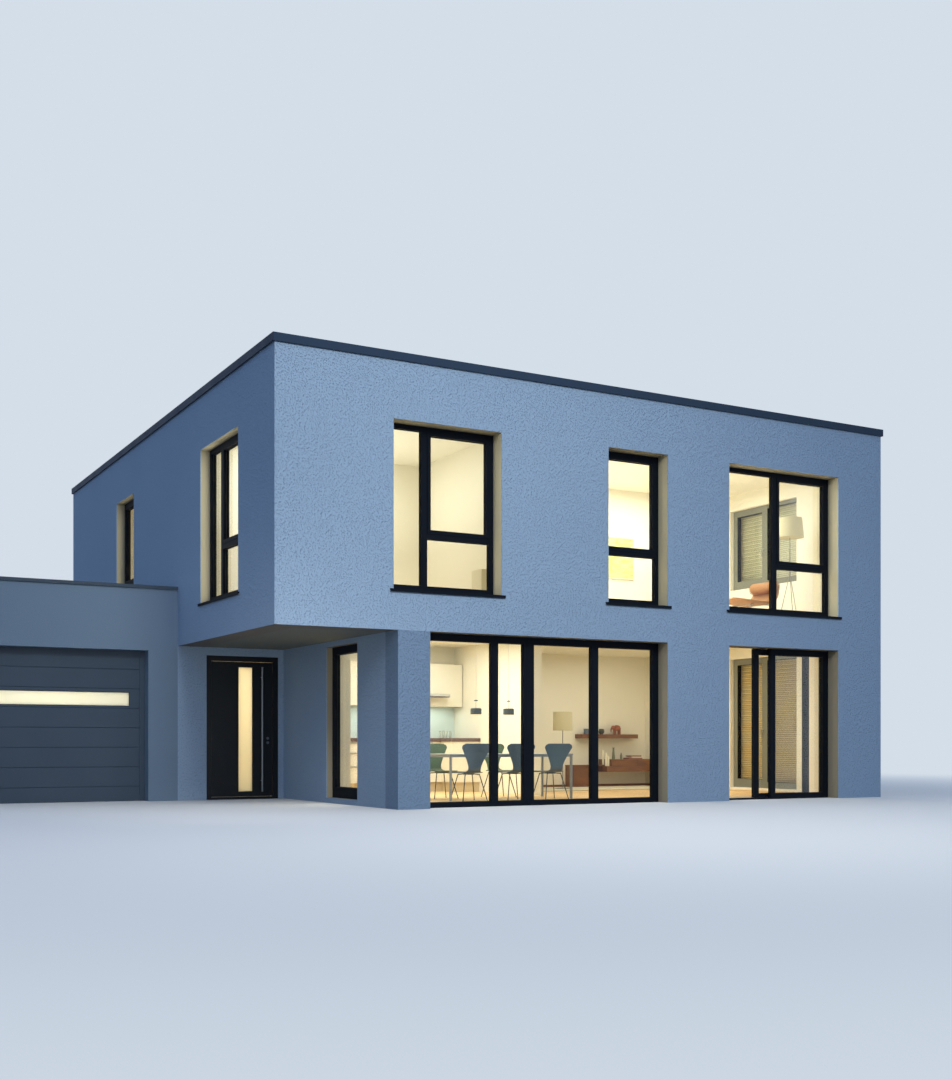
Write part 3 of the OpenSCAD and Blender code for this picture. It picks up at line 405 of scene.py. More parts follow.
def frosted_glass():
    """Milky glass that glows with the lamp behind it, greyer towards the bottom as painted shade."""
    p = Paint("frosted_glass")
    through = p.add("ShaderNodeBsdfTranslucent")
    cloud = p.noise(3.0, 2.0)
    cream = p.mix(cloud, shown(255, 246, 222), shown(255, 250, 232))
    # Greyer towards the bottom: a painted falloff of the light of the lamp behind
    low = p.step(p.z, 0.3, 2.1, 0.8, 0.3)
    p.put(through.inputs["Color"], p.mix(low, cream, shown(226, 222, 206)))
    mirror = p.add("ShaderNodeBsdfGlossy")
    mirror.inputs["Roughness"].default_value = 0.25
    return p.end(p.blend(0.05, through, mirror))


def wood(name, light, dark):
    """Oiled wood with its grain along X downstairs, a cream lacquer on it upstairs."""
    p = Paint(name)
    stretched = p.mapped(p.points, (0.6, 6.0, 6.0))
    rings = p.noise(3.0, 6.0, 0.65, 1.2, stretched)
    pores = p.noise(60.0, 2.0, 0.5, 0.0, p.mapped(p.points, (0.15, 1.0, 1.0)))
    color = p.mix(p.step(rings, 0.3, 0.72), light, dark)
    color = p.mix(p.step(pores, 0.55, 0.75, 0.0, 0.35), color, dark)
    color = p.mix(p.calc("GREATER_THAN", p.z, CEILING), color, shown(232, 224, 196))
    return p.solid(color, 0.45, normal=p.bump(pores, 0.0004))


def kitchen():
    """Cream lacquer fronts, a brown stone worktop and a plinth in a darker beige as painted shade of
    its recess, by height.
    """
    p = Paint("kitchen_finish")
    top = p.between(p.z, 0.936, 1.003)
    plinth = p.calc("LESS_THAN", p.z, 0.209)
    flecks = p.noise(70.0, 4.0, 0.7)
    stone = p.mix(p.step(flecks, 0.4, 0.62), shown(92, 72, 70), shown(124, 103, 100))
    lacquer = p.mix(p.noise(1.5, 2.0), shown(240, 234, 214), shown(245, 240, 222))
    # The plinth's darker beige is painted shade
    color = p.mix(plinth, p.mix(top, lacquer, stone), shown(214, 196, 158))
    return p.solid(color, p.step(top, 0.0, 1.0, 0.28, 0.4))


def table_finish():
    """A pale lacquered top on a steel frame, by height."""
    p = Paint("table_finish")
    top = p.calc("GREATER_THAN", p.z, 0.738)
    soft = p.noise(2.0, 4.0)
    color = p.mix(top, p.mix(soft, shown(146, 154, 162), shown(156, 164, 170)),
                  p.mix(soft, shown(206, 210, 208), shown(216, 219, 216)))
    return p.solid(color, 0.35)


def chair_finish():
    """Lacquered shells in three colours on the near chairs, by place, and green on the far ones as a
    painted reflection of plants, on bright steel legs.
    """
    p = Paint("chair_finish")
    legs = p.calc("LESS_THAN", p.z, 0.445)
    far = p.calc("GREATER_THAN", p.y, 1.75)
    slate = shown(96, 118, 138)
    teal = shown(88, 114, 130)
    steel_blue = shown(86, 109, 125)
    # The far shells' green is a painted reflection of plants
    plant_reflection_green = shown(96, 118, 96)
    near = p.mix(p.calc("GREATER_THAN", p.x, 3.9), slate, teal)
    near = p.mix(p.calc("GREATER_THAN", p.x, 4.6), near, steel_blue)
    shell = p.mix(far, near, plant_reflection_green)
    grain = p.noise(7.0, 4.0, 0.6, 0.6, p.mapped(p.points, (6.0, 1.0, 0.8)))
    worn = p.mix(p.step(grain, 0.35, 0.8, 0.0, 0.2), shell, shown(56, 70, 78))
    color = p.mix(legs, worn, shown(120, 122, 122))
    rough = p.step(legs, 0.0, 1.0, 0.34, 0.22)
    return p.solid(color, rough, legs)


def shade_finish():
    """Pleated cream fabric on the shades, brushed steel on the stems and feet."""
    p = Paint("shade_fabric")
    high = p.calc("MAXIMUM", p.between(p.z, 1.149, 1.52), p.between(p.z, 4.459, 4.9))
    weave = p.noise(260.0, 2.0, 0.5, 0.0, p.mapped(p.points, (1, 1, 2.5)))
    cloth = p.mix(weave, shown(190, 184, 152), shown(200, 194, 162))
    color = p.mix(high, shown(150, 150, 148), cloth)
    glow = p.calc("MULTIPLY", high, 0.12)
    return p.solid(color, p.step(high, 0.0, 1.0, 0.3, 0.85), p.calc("SUBTRACT", 1.0, high),
                   p.bump(weave, 0.0006), Emission_Color=shown(255, 226, 160),
                   Emission_Strength=glow)


def pendant_finish():
    """Grey metal drums that glow inside, on cream wires, by height."""
    p = Paint("pendant_metal")
    low = p.calc("LESS_THAN", p.z, 1.36)
    wire = p.calc("GREATER_THAN", p.z, 1.58)
    inner = p.calc("LESS_THAN", p.facing("Z"), -0.5)
    lit = p.calc("MULTIPLY", low, inner)
    soft = p.noise(3.0, 3.0)
    color = p.mix(soft, shown(98, 108, 112), shown(112, 122, 126))
    color = p.mix(wire, color, shown(226, 222, 206))
    return p.solid(color, 0.35, 0.4, Emission_Color=shown(255, 226, 170),
                   Emission_Strength=p.calc("MULTIPLY", lit, 1.2))


def leather(name, light, dark):
    p = Paint(name)
    creases = p.cells(85.0, "DISTANCE_TO_EDGE")
    hide = p.mix(p.noise(5.0, 4.0, 0.6), light, dark)
    return p.solid(hide, 0.5, normal=p.bump(p.step(creases, 0.0, 0.18), 0.0006))


def blind_finish():
    """Slats with a painted shade from their upper to their lower edge, yellower downstairs."""
    p = Paint("blind_slats")
    slat = 0.035
    low = p.calc("LESS_THAN", p.z, CEILING)
    top = p.calc("SUBTRACT", 5.19, p.calc("MULTIPLY", low, 2.80))
    place = p.calc("FRACT", p.calc("DIVIDE", p.calc("SUBTRACT", top, p.z), slat))
    shade = p.step(place, 0.3, 0.8)
    upper = p.mix(shade, shown(216, 216, 188), shown(154, 154, 120))
    lower = p.mix(shade, shown(238, 208, 122), shown(168, 138, 66))
    return p.solid(p.mix(low, upper, lower), 0.4, normal=p.bump(p.noise(200.0), 0.0004))


def picture_finish():
    """A pale yellow sheet with soft washes, in a thin frame."""
    p = Paint("picture_print")
    rim = p.within(7.62, 8.48, -1, 12, 3.965, 4.70)
    washes = p.noise(2.6, 3.0, 0.5, 1.5, p.mapped(p.points, (1.0, 1.0, 2.4)))
    strokes = p.noise(5.0, 2.0, 0.5, 2.5, p.mapped(p.points, (0.7, 1.0, 3.0)))
    sheet = p.mix(p.step(washes, 0.35, 0.7), shown(234, 228, 164), shown(206, 206, 128))
    sheet = p.mix(p.step(strokes, 0.6, 0.66, 0.0, 0.55), sheet, shown(150, 150, 96))
    return p.solid(p.mix(rim, shown(222, 218, 200), sheet), 0.7)


WALNUT = wood("oiled_walnut", shown(142, 92, 56), shown(98, 60, 36))


def dress(material, *names):
    for name in names:
        for slot in nodes[name].material_slots:
            slot.material = material


dress(stucco("scratched_render", shown(151, 177, 207), shown(145, 171, 201)),
      "entrance_walls", "entrance_lintel", "front_piers", "ground_left_wall",
      "ground_back_wall", "ground_right_wall", "upper_front_wall", "upper_left_wall",
      "upper_back_wall", "upper_right_wall", "porch_side_wall")
# The column and the garage walls take darker copies of the render as painted shade; the garage copy
# has fainter scratches
dress(stucco("column_render_painted_shade", shown(125, 150, 180), shown(120, 145, 175), 1.3), "porch_column")
dress(stucco("garage_render_painted_shade", shown(115, 137, 162), shown(110, 132, 157), 0.2),
      "garage_front_wall", "garage_left_wall", "garage_back_wall")
dress(plaster(), "partitions")
dress(soffit_render_in_painted_shade(), "porch_soffit")
dress(floors(), "ground_floor_slab", "upper_floor_slab")
dress(roofing(), "roof_slabs")
dress(roof_sheet(), "roof_edges")
dress(frame_coat(), "window_frames", "window_sills", "terrace_glazing_frame",
      "terrace_door_frame", "terrace_door_leaf")
dress(coated("garage_coat", shown(58, 72, 89), shown(64, 79, 97), 0.45, 0.4),
      "garage_door", "garage_door_frame")
dress(coated("door_coat", shown(13, 17, 22), shown(17, 22, 28), 0.4, 0.35),
      "entrance_door_frame", "entrance_door_leaf")
dress(brushed("dark_steel", shown(128, 132, 136), 0.34), "entrance_door_handles")
dress(brushed("brushed_steel", shown(196, 198, 200), 0.28), "terrace_door_handle", "cooker_hood")
dress(clear_glass(), "window_glass", "terrace_glazing_glass", "terrace_door_glass")
dress(frosted_glass(), "garage_door_glass", "entrance_door_glass")
dress(WALNUT, "wall_shelf", "sideboards")
dress(kitchen(), "kitchen_units")
dress(table_finish(), "dining_table")
dress(chair_finish(), "dining_chairs")
dress(pendant_finish(), "pendant_lamps")
dress(shade_finish(), "floor_lamps")
dress(blind_finish(), "window_blinds")
dress(picture_finish(), "wall_picture")


# Shapes

def angles(count):
    return [2 * math.pi * i / count for i in range(count)]


def ring_faces(rings, sides):
    """The faces that join rings of corners, and a cap at each end."""
    faces = [[k * sides + i, k * sides + (i + 1) % sides,
              (k + 1) * sides + (i + 1) % sides, (k + 1) * sides + i]
             for k in range(rings - 1) for i in range(sides)]
    last = (rings - 1) * sides
    return faces + [list(range(sides))[::-1], [last + i for i in range(sides)]]


def make_piece(bm, name, materials, body="house", smooth=True, sharp=None):
    """A piece from a mesh. Where sharp is given, edges over so many degrees stay sharp."""
    bmesh.ops.recalc_face_normals(bm, faces=bm.faces)
    mesh = bpy.data.meshes.new(name)
    bm.to_mesh(mesh)
    bm.free()
    for material in materials if isinstance(materials, list) else [materials]:
        mesh.materials.append(material)
    for face in mesh.polygons:
        face.use_smooth = smooth
    piece = bpy.data.objects.new(name, mesh)
    bpy.context.scene.collection.objects.link(piece)
    if sharp is not None:
        with bpy.context.temp_override(object=piece, selected_editable_objects=[piece]):
            bpy.ops.object.shade_smooth_by_angle(angle=math.radians(sharp))
    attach(piece, body)
    return piece


class Shape:
    """A piece in the making. Each call adds one closed form to its mesh, in the house frame."""

    def __init__(self):
        self.bm = bmesh.new()
        self.slot = 0

    def paint(self, slot):
        """The forms that follow take this material of the list that place() is given."""
        self.slot = slot
        return self

    def keep(self, verts, faces):
        made = [self.bm.verts.new(at(*v)) for v in verts]
        for f in faces:
            face = self.bm.faces.new([made[i] for i in f])
            face.material_index = self.slot
        return made

    def box(self, lo, hi, round_by=0.0):
        (x0, y0, z0), (x1, y1, z1) = lo, hi
        verts = [(x, y, z) for z in (z0, z1) for x, y in ((x0, y0), (x1, y0), (x1, y1), (x0, y1))]
        faces = [(3, 2, 1, 0), (4, 5, 6, 7), (0, 1, 5, 4), (1, 2, 6, 5), (2, 3, 7, 6), (3, 0, 4, 7)]
        made = self.keep(verts, faces)
        if round_by:
            edges = list(dict.fromkeys(e for v in made for e in v.link_edges))
            bmesh.ops.bevel(self.bm, geom=edges, offset=round_by, segments=2, affect="EDGES",
                            profile=0.7, material=self.slot)
        return self

    def lathe(self, centre, profile, sides=24):
        """A round form: profile is a list of (radius, height) from its foot to its top."""
        x, y, z = centre
        verts = [(x + r * math.cos(a), y + r * math.sin(a), z + h)
                 for r, h in profile for a in angles(sides)]
        self.keep(verts, ring_faces(len(profile), sides))
        return self

    def tube(self, points, radius, sides=10):
        """A round bar along points. radius is one number, or one for each point."""
        radii = radius if hasattr(radius, "__len__") else [radius] * len(points)
        line = [Vector(p) for p in points]
        verts = []
        side = None
        for k, here in enumerate(line):
            ahead = (line[min(k + 1, len(line) - 1)] - line[max(k - 1, 0)]).normalized()
            if side is None:
                side = ahead.orthogonal().normalized()
            side = (side - ahead * side.dot(ahead)).normalized()
            other = ahead.cross(side)
            verts += [here + radii[k] * (math.cos(a) * side + math.sin(a) * other)
                      for a in angles(sides)]
        self.keep(verts, ring_faces(len(line), sides))
        return self

    def ball(self, centre, size):
        """A rounded lump, size being its three half widths."""
        rings, sides = 10, 14
        verts = []
        for k in range(rings):
            rise = math.pi * (k + 0.5) / rings
            r, h = math.sin(rise), -math.cos(rise)
            for a in angles(sides):
                point = (r * math.cos(a), r * math.sin(a), h)
                verts.append([c + s * v for c, s, v in zip(centre, size, point)])
        self.keep(verts, ring_faces(rings, sides))
        return self

    def place(self, name, materials, slot, body="house", smooth=False):
        make_piece(self.bm, name, materials, body, smooth, 40 if smooth else None)


def solids(name):
    """The box of each separate solid of a CAD node, in the house frame."""
    bm = bmesh.new()
    bm.from_mesh(nodes[name].data)
    bmesh.ops.remove_doubles(bm, verts=bm.verts, dist=1e-6)
    seen, found = set(), []
    for start in bm.verts:
        if start in seen:
            continue
        group, todo = [], [start]
        seen.add(start)
        while todo:
            v = todo.pop()
            group.append(v.co.copy())
            for e in v.link_edges:
                other = e.other_vert(v)
                if other not in seen:
                    seen.add(other)
                    todo.append(other)
        lo = [min(c[i] for c in group) - (corner[i] if i < 2 else 0) for i in range(3)]
        hi = [max(c[i] for c in group) - (corner[i] if i < 2 else 0) for i in range(3)]
        found.append((lo, hi))
    bm.free()
    return found


def plain(name, color, tone, rough=0.5):
    """A surface with a slight cloud of a second tone and a fine grain."""
    p = Paint(name)
    fine = p.noise(40.0, 3.0, 0.6)
    return p.solid(p.mix(p.noise(3.0, 3.0), color, tone), rough, normal=p.bump(fine, 0.0004))


RUBBER = plain("black_rubber", shown(14, 15, 17), shown(20, 21, 23), 0.7)
CREAM = plain("cream_wax", shown(244, 236, 206), shown(250, 244, 220), 0.45)
ALU = brushed("satin_aluminium", shown(176, 178, 178), 0.32, (1, 40, 1))


# Doors and windows

def gasket(shape, lo, hi):
    """A rubber seal round a pane: four thin strips on each face of the glass."""
    rim, proud = 0.007, 0.003
    thin = 0 if hi[0] - lo[0] < hi[1] - lo[1] else 1
    wide = 1 - thin
    for face in (lo[thin], hi[thin]):
        for a0, a1, z0, z1 in ((lo[wide], lo[wide] + rim, lo[2], hi[2]),
                               (hi[wide] - rim, hi[wide], lo[2], hi[2]),
                               (lo[wide] + rim, hi[wide] - rim, lo[2], lo[2] + rim),
                               (lo[wide] + rim, hi[wide] - rim, hi[2] - rim, hi[2])):
            first, last = [0, 0, z0], [0, 0, z1]
            first[thin], last[thin] = face - proud, face + proud
            first[wide], last[wide] = a0, a1
            shape.box(first, last)


def gaskets(name, panes, body="house"):
    shape = Shape()
    for lo, hi in panes:
        gasket(shape, lo, hi)
    shape.place(name, RUBBER, "frame", body)


# Heads of the openings upstairs, on the ground floor and beside the porch. The pane of an
# opening sash ends SASH_DROP below them
HEADS = (5.3, 2.5, 2.36)
SASH_DROP = 0.116


def window_handles(panes):
    """A lever on the room side of each opening sash, next to its lower middle."""
    shape = Shape()
    for lo, hi in panes:
        fixed = all(abs(head - hi[2] - SASH_DROP) >= 0.004 for head in HEADS)
        if fixed:
            continue
        mid = [(a + b) / 2 for a, b in zip(lo, hi)]
        thin = 0 if hi[0] - lo[0] < hi[1] - lo[1] else 1
        wide = 1 - thin
        centre = HOUSE_W / 2 if thin == 0 else HOUSE_D / 2
        inward = 1 if mid[thin] < centre else -1
        glass_to_face, glass_to_lever = 0.020, 0.027
        face = (hi[thin] if inward > 0 else lo[thin]) + inward * glass_to_face
        along = lo[wide] - glass_to_lever
        height = lo[2] + 0.42 * (hi[2] - lo[2])

        def point(out, side, z):
            where = [0, 0, height + z]
            where[thin], where[wide] = face + inward * out, along + side
            return where

        for out0, out1, half, z0, z1 in ((0.0, 0.010, 0.014, -0.035, 0.035),
                                         (0.038, 0.050, 0.010, -0.125, 0.012)):
            a, b = point(out0, -half, z0), point(out1, half, z1)
            shape.box([min(i, j) for i, j in zip(a, b)], [max(i, j) for i, j in zip(a, b)], 0.003)
        shape.tube([point(0.008, 0, 0), point(0.042, 0, 0)], 0.008)
    shape.place("window_levers", ALU, "steel")


window_panes = solids("window_glass")
gaskets("window_seals", window_panes)
window_handles(window_panes)
gaskets("terrace_seals", solids("terrace_glazing_glass"))
gaskets("terrace_leaf_seals", solids("terrace_door_glass"), "terrace_leaf")
gaskets("entrance_seals", solids("entrance_door_glass"), "entrance_leaf")
gaskets("garage_seals", solids("garage_door_glass"))


# Kitchen

def kitchen_details():
    """A glass splashback, jars and bottles on the worktop, and the pulls of the drawers."""
    low, high = 1.002, 1.574
    sheet = plain("splashback_glass", shown(214, 228, 222), shown(222, 234, 228), 0.12)
    panel = Shape().box((3.0, KITCHEN_BACK - 0.008, low), (5.588, KITCHEN_BACK - 0.001, high), 0.002)
    panel.place("splashback", sheet, "plaster")
    jars = Shape()
    glass = plain("jar_glass", shown(178, 190, 176), shown(192, 200, 186), 0.15)
    for i, x in enumerate((5.12, 5.185, 5.26, 5.33)):
        r, h = (0.022, 0.13) if i != 1 else (0.026, 0.14)
        jars.paint(0).lathe((x, 5.2, 1.0), [(r, 0), (r, h - 0.02), (r * 0.8, h - 0.012)], 16)
        jars.paint(1).lathe((x, 5.2, 1.0), [(r * 0.86, h - 0.012), (r * 0.86, h)], 16)
    jars.place("spice_jars", [glass, ALU], "glass", smooth=True)
    pepper = Shape()
    pepper.lathe((3.62, 5.12, 1.0), [(0.032, 0), (0.03, 0.05), (0.018, 0.10), (0.026, 0.15),
                                     (0.03, 0.2), (0.014, 0.23), (0.02, 0.25), (0.006, 0.27)])
    pepper.lathe((3.80, 5.2, 1.0), [(0.04, 0), (0.042, 0.12), (0.036, 0.16), (0.014, 0.2),
                                    (0.014, 0.27), (0.017, 0.28)])
    pepper.place("pepper_mill_and_bottle", WALNUT, "wood", smooth=True)
    pulls = Shape()
    for z in (0.908, 0.728, 0.488):
        for x in (3.12, 4.06):
            pulls.box((x, 4.932, z), (x + 0.78, 4.951, z + 0.012), 0.002)
    pulls.place("drawer_pulls", ALU, "steel")


kitchen_details()


# Living room

def carved_animal(shape, x, y, z, size):
    """A small carved elephant in plain round forms."""
    s = size
    shape.ball((x, y, z + 0.62 * s), (0.42 * s, 0.24 * s, 0.28 * s))
    shape.ball((x - 0.44 * s, y, z + 0.66 * s), (0.2 * s, 0.17 * s, 0.2 * s))
    for dx, dy in ((-0.26, -0.12), (-0.26, 0.12), (0.28, -0.12), (0.28, 0.12)):
        shape.tube([(x + dx * s, y + dy * s, z), (x + dx * s, y + dy * s, z + 0.3 * s),
                    (x + dx * 0.9 * s, y + dy * s, z + 0.6 * s)], [0.085 * s, 0.075 * s, 0.1 * s])
    shape.tube([(x - 0.58 * s, y, z + 0.66 * s), (x - 0.68 * s, y, z + 0.45 * s),
                (x - 0.7 * s, y, z + 0.2 * s)], [0.09 * s, 0.06 * s, 0.035 * s])
    shape.tube([(x + 0.4 * s, y, z + 0.7 * s), (x + 0.48 * s, y, z + 0.5 * s)],
               [0.03 * s, 0.02 * s])


def shelf_pieces():
    top = 1.093
    y = LIVING_BACK - 0.13
    shape = Shape()
    shape.box((8.81, y - 0.05, top), (8.93, y + 0.05, top + 0.11), 0.006)
    shape.place("shelf_box", plain("grey_card", shown(104, 118, 138), shown(116, 128, 146), 0.7),
                "furniture_metal")
    shape = Shape()
    shape.lathe((9.21, y, top),
                [(0.03, 0), (0.055, 0.03), (0.06, 0.06), (0.05, 0.1), (0.044, 0.11)])
    shape.place("dark_pot", plain("dark_glaze", shown(60, 62, 54), shown(84, 84, 70), 0.3),
                "furniture_metal", smooth=True)
    shape = Shape()
    carved_animal(shape, 9.59, y, top, 0.21)
    shape.place("carved_animal", plain("carved_wood", shown(176, 104, 70), shown(150, 84, 54), 0.4),
                "wood", smooth=True)


def sideboard_pieces():
    board, low, high = 0.476, 0.454, 0.586
    candles = Shape()
    for x, y, z, h in ((9.155, 5.83, board, 0.3), (9.137, 5.70, low, 0.27), (9.19, 5.70, low, 0.2)):
        r = 0.022
        candles.paint(0).lathe((x, y, z), [(r, 0), (r, h - 0.012), (r * 0.8, h - 0.002),
                                           (r * 0.3, h - 0.006)], 18)
        candles.paint(1).tube([(x, y, z + h - 0.006), (x + 0.002, y, z + h + 0.008)], 0.0015, 6)
    candles.place("candles", [CREAM, RUBBER], "lamp_shade", smooth=True)
    y = LIVING_BACK - 0.24
    vases = Shape()
    vases.lathe((9.43, y, high), [(0.03, 0), (0.032, 0.02), (0.026, 0.1), (0.018, 0.18),
                                  (0.02, 0.23), (0.024, 0.24)])
    vases.lathe((9.62, y, high), [(0.02, 0), (0.024, 0.03), (0.022, 0.08), (0.012, 0.11),
                                  (0.014, 0.13)])
    vases.place("bottle_vases", plain("green_glaze", shown(120, 128, 96), shown(140, 146, 110),
                                      0.25), "glass", smooth=True)
    books = Shape()
    z = high
    for x, w, d, t, cover in ((9.91, 0.34, 0.2, 0.03, 0), (9.95, 0.24, 0.17, 0.022, 1),
                              (9.93, 0.28, 0.16, 0.025, 0)):
        books.paint(cover).box((x - w / 2, y - d / 2, z), (x + w / 2, y + d / 2, z + t), 0.003)
        z += t
    red = plain("book_red", shown(150, 96, 78), shown(160, 108, 88), 0.6)
    books.place("books", [red, CREAM], "picture")


shelf_pieces()
sideboard_pieces()


def lounge_spot(x, y, z):
    """A point of the lounge chair's own frame, where it faces +Y, in the house frame."""
    return (9.075 - y, 1.33 + x, UPPER_FLOOR + z)


def smooth_path(points, count):
    """A cubic curve through all the points, as so many points."""
    line = [Vector(p) for p in points]
    line = [2 * line[0] - line[1]] + line + [2 * line[-1] - line[-2]]
    out = []
    for k in range(count):
        t = k / (count - 1) * (len(line) - 3)
        i = min(int(t), len(line) - 4)
        f = t - i
        a, b, c, d = line[i:i + 4]
        out.append(0.5 * ((2 * b) + (c - a) * f + (2 * a - 5 * b + 4 * c - d) * f * f
                          + (3 * b - a - 3 * c + d) * f ** 3))
    return out


def lounge_half(y, height):
    """Half the width of the shell at a place along it."""
    front = 0.36 * math.sqrt(max(0.0, 1 - (max(0.0, y - 0.01) / 0.424) ** 2))
    back = 0.36 - 0.062 * max(0.0, min(1.0, (height - 0.44) / 0.25))
    return max(0.05, min(front, back))


def join_rings(bm, rings):
    """Joins rings of corners with faces and closes both ends."""
    for a, b in zip(rings, rings[1:]):
        for i in range(len(a)):
            j = (i + 1) % len(a)
            bm.faces.new((a[i], a[j], b[j], b[i]))
    bm.faces.new(rings[0][::-1])
    bm.faces.new(rings[-1])


def lounge_shell():
    """A bent leather shell, padded between its welted rims, with three sewn channels."""
    path = smooth_path([(0.425, 0.432), (0.33, 0.402), (0.18, 0.376), (0.0, 0.362),
                        (-0.16, 0.363), (-0.255, 0.386), (-0.33, 0.452), (-0.383, 0.562),
                        (-0.413, 0.684)], 56)
    across = 28
    seams = (16, 28, 40)
    bm = bmesh.new()
    rings = []
    for k, here in enumerate(path):
        run = (path[min(k + 1, len(path) - 1)] - path[max(k - 1, 0)]).normalized()
        up = Vector((-run.y, run.x)) * -1
        if up.y < 0:
            up = -up
        half = lounge_half(here.x, here.y)
        end_thin = min(1.0, k / 5, (len(path) - 1 - k) / 5)
        channel = 1 - 0.35 * max(math.exp(-((k - m) / 1.1) ** 2) for m in seams)
        top, low = [], []
        for i in range(across + 1):
            u = 2 * i / across - 1
            body = (1 - abs(u) ** 5) ** 0.5 * (0.25 + 0.75 * end_thin ** 0.5)
            curl = 0.018 * abs(u) ** 3
            swell = 0.019 * body * channel
            crease = 0.0014 * math.sin(17 * u + 2.2 * k) * (1 - u * u)
            a = here + up * (0.004 + swell + curl + crease - 0.006)
            b = here - up * (0.004 + 0.016 * body + 0.008) + up * curl
            top.append(bm.verts.new(at(*lounge_spot(u * half, a.x, a.y))))
            low.append(bm.verts.new(at(*lounge_spot(u * half * 0.985, b.x, b.y))))
        rings.append(top + low[::-1])
    join_rings(bm, rings)
    return bm


def head_cushion():
    """A rolled head cushion: crowned ends drawn in by their seams, and soft folds."""
    bm = bmesh.new()
    long, radius, around, steps = 0.63, 0.096, 40, 44
    rings = []
    for k in range(steps + 1):
        t = -1 + 2 * k / steps
        x = t * long / 2
        from_end = (1 - abs(t)) * long / 2
        r = radius * (1 - (1 - min(1.0, from_end / 0.062)) ** 2.4 * 0.62)
        r *= 1 - 0.03 * math.exp(-(from_end - 0.03) ** 2 / 0.0001)
        ring = []
        for a in angles(around):
            folds = 0.022 * math.sin(9 * a) * math.exp(-from_end / 0.05)
            sag = 1 - 0.05 * max(0.0, -math.sin(a)) - 0.02 * math.sin(3 * t + 2 * a)
            y, z = r * (1 + folds) * math.cos(a), r * (1 + folds) * sag * math.sin(a)
            ring.append(bm.verts.new(at(*lounge_spot(x, -0.338 + y, 0.655 + z))))
        rings.append(ring)
    join_rings(bm, rings)
    return bm


def lounge_chair():
    shell = make_piece(lounge_shell(), "lounge_shell", TAN_LEATHER)
    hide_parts("lounge_chair")
    cushion = make_piece(head_cushion(), "lounge_head_cushion", TAN_LEATHER)
    piping = Shape()
    for x in (-0.287, 0.287):
        ring = [lounge_spot(x, -0.338 + 0.092 * math.cos(a), 0.655 + 0.0905 * math.sin(a))
                for a in angles(32) + [2 * math.pi]]
        piping.tube(ring, 0.0035, 8)
    piping.place("lounge_piping", DARK_LEATHER, "leather", smooth=True)
    legs = Shape()
    for x in (-1, 1):
        for y0, y1 in ((0.17, 0.26), (-0.235, -0.33)):
            legs.tube([lounge_spot(0.21 * x, y0 * 0.6, 0.336), lounge_spot(0.245 * x, y0, 0.334),
                       lounge_spot(0.256 * x, y0 * 1.04, 0.318),
                       lounge_spot(0.285 * x, y1, 0.012)], 0.009, 12)
            legs.lathe(lounge_spot(0.285 * x, y1, 0.0),
                       [(0.010, 0), (0.013, 0.002), (0.013, 0.007), (0.0095, 0.016)], 16)
    for y in (0.10, -0.141):
        legs.tube([lounge_spot(-0.22, y, 0.336), lounge_spot(0.22, y, 0.336)], 0.008, 12)
    legs.place("lounge_legs", ALU, "steel", smooth=True)


def wool_rug():
    """A woven wool rug: a bound edge, and small waves in a slightly uneven pile."""
    x0, x1, y0, y1 = 6.2, 10.0, 4.0, 5.55
    thick = 0.013
    nx, ny = 152, 62
    bm = bmesh.new()
    grids = []
    for top in (True, False):
        grid = []
        for i in range(nx + 1):
            row = []
            for j in range(ny + 1):
                u, v = i / nx, j / ny
                edge = min(i, nx - i, j, ny - j)
                z = FLOOR + 0.0004
                if top:
                    z += thick * (0.55, 0.9)[edge > 0] if edge < 2 else thick
                    if edge >= 2:
                        z += 0.0014 * chance.random() - 0.0022
                        z += 0.0008 * math.sin(23 * u + 9 * v) + 0.0006 * math.sin(31 * v)
                row.append(bm.verts.new(at(x0 + u * (x1 - x0), y0 + v * (y1 - y0), z)))
            grid.append(row)
        grids.append(grid)
    upper, lower = grids
    for i in range(nx):
        for j in range(ny):
            bm.faces.new((upper[i][j], upper[i + 1][j], upper[i + 1][j + 1], upper[i][j + 1]))
            bm.faces.new((lower[i][j], lower[i][j + 1], lower[i + 1][j + 1], lower[i + 1][j]))
    rim = ([(i, 0) for i in range(nx)] + [(nx, j) for j in range(ny)]
           + [(i, ny) for i in range(nx, 0, -1)] + [(0, j) for j in range(ny, 0, -1)])
    for (a, b), (c, d) in zip(rim, rim[1:] + rim[:1]):
        bm.faces.new((upper[a][b], lower[a][b], lower[c][d], upper[c][d]))
    rug = make_piece(bm, "wool_rug", rug_wool())
    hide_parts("rug")


def rug_wool():
    """Undyed wool in low loops, with a darker bound edge."""
    p = Paint("rug_wool")
    loops = p.cells(150.0, points=p.mapped(p.points, (1.0, 1.6, 1.0)))
    shade = p.noise(9.0, 4.0, 0.6)
    wool = p.mix(shade, shown(244, 236, 206), shown(228, 216, 180))
    wool = p.mix(p.step(loops, 0.25, 0.6, 0.0, 0.5), wool, shown(196, 180, 142))
    inside = p.within(6.22, 9.98, 4.02, 5.53)
    bound = p.mix(inside, shown(186, 168, 130), wool)
    return p.solid(bound, 0.95, normal=p.bump(p.calc("SUBTRACT", 1.0, loops), 0.002),
                   Sheen_Weight=0.4)


TAN_LEATHER = leather("tan_leather", shown(200, 150, 98), shown(168, 114, 68))
DARK_LEATHER = leather("dark_leather", shown(150, 92, 56), shown(124, 72, 42))
lounge_chair()
wool_rug()


# Skirting

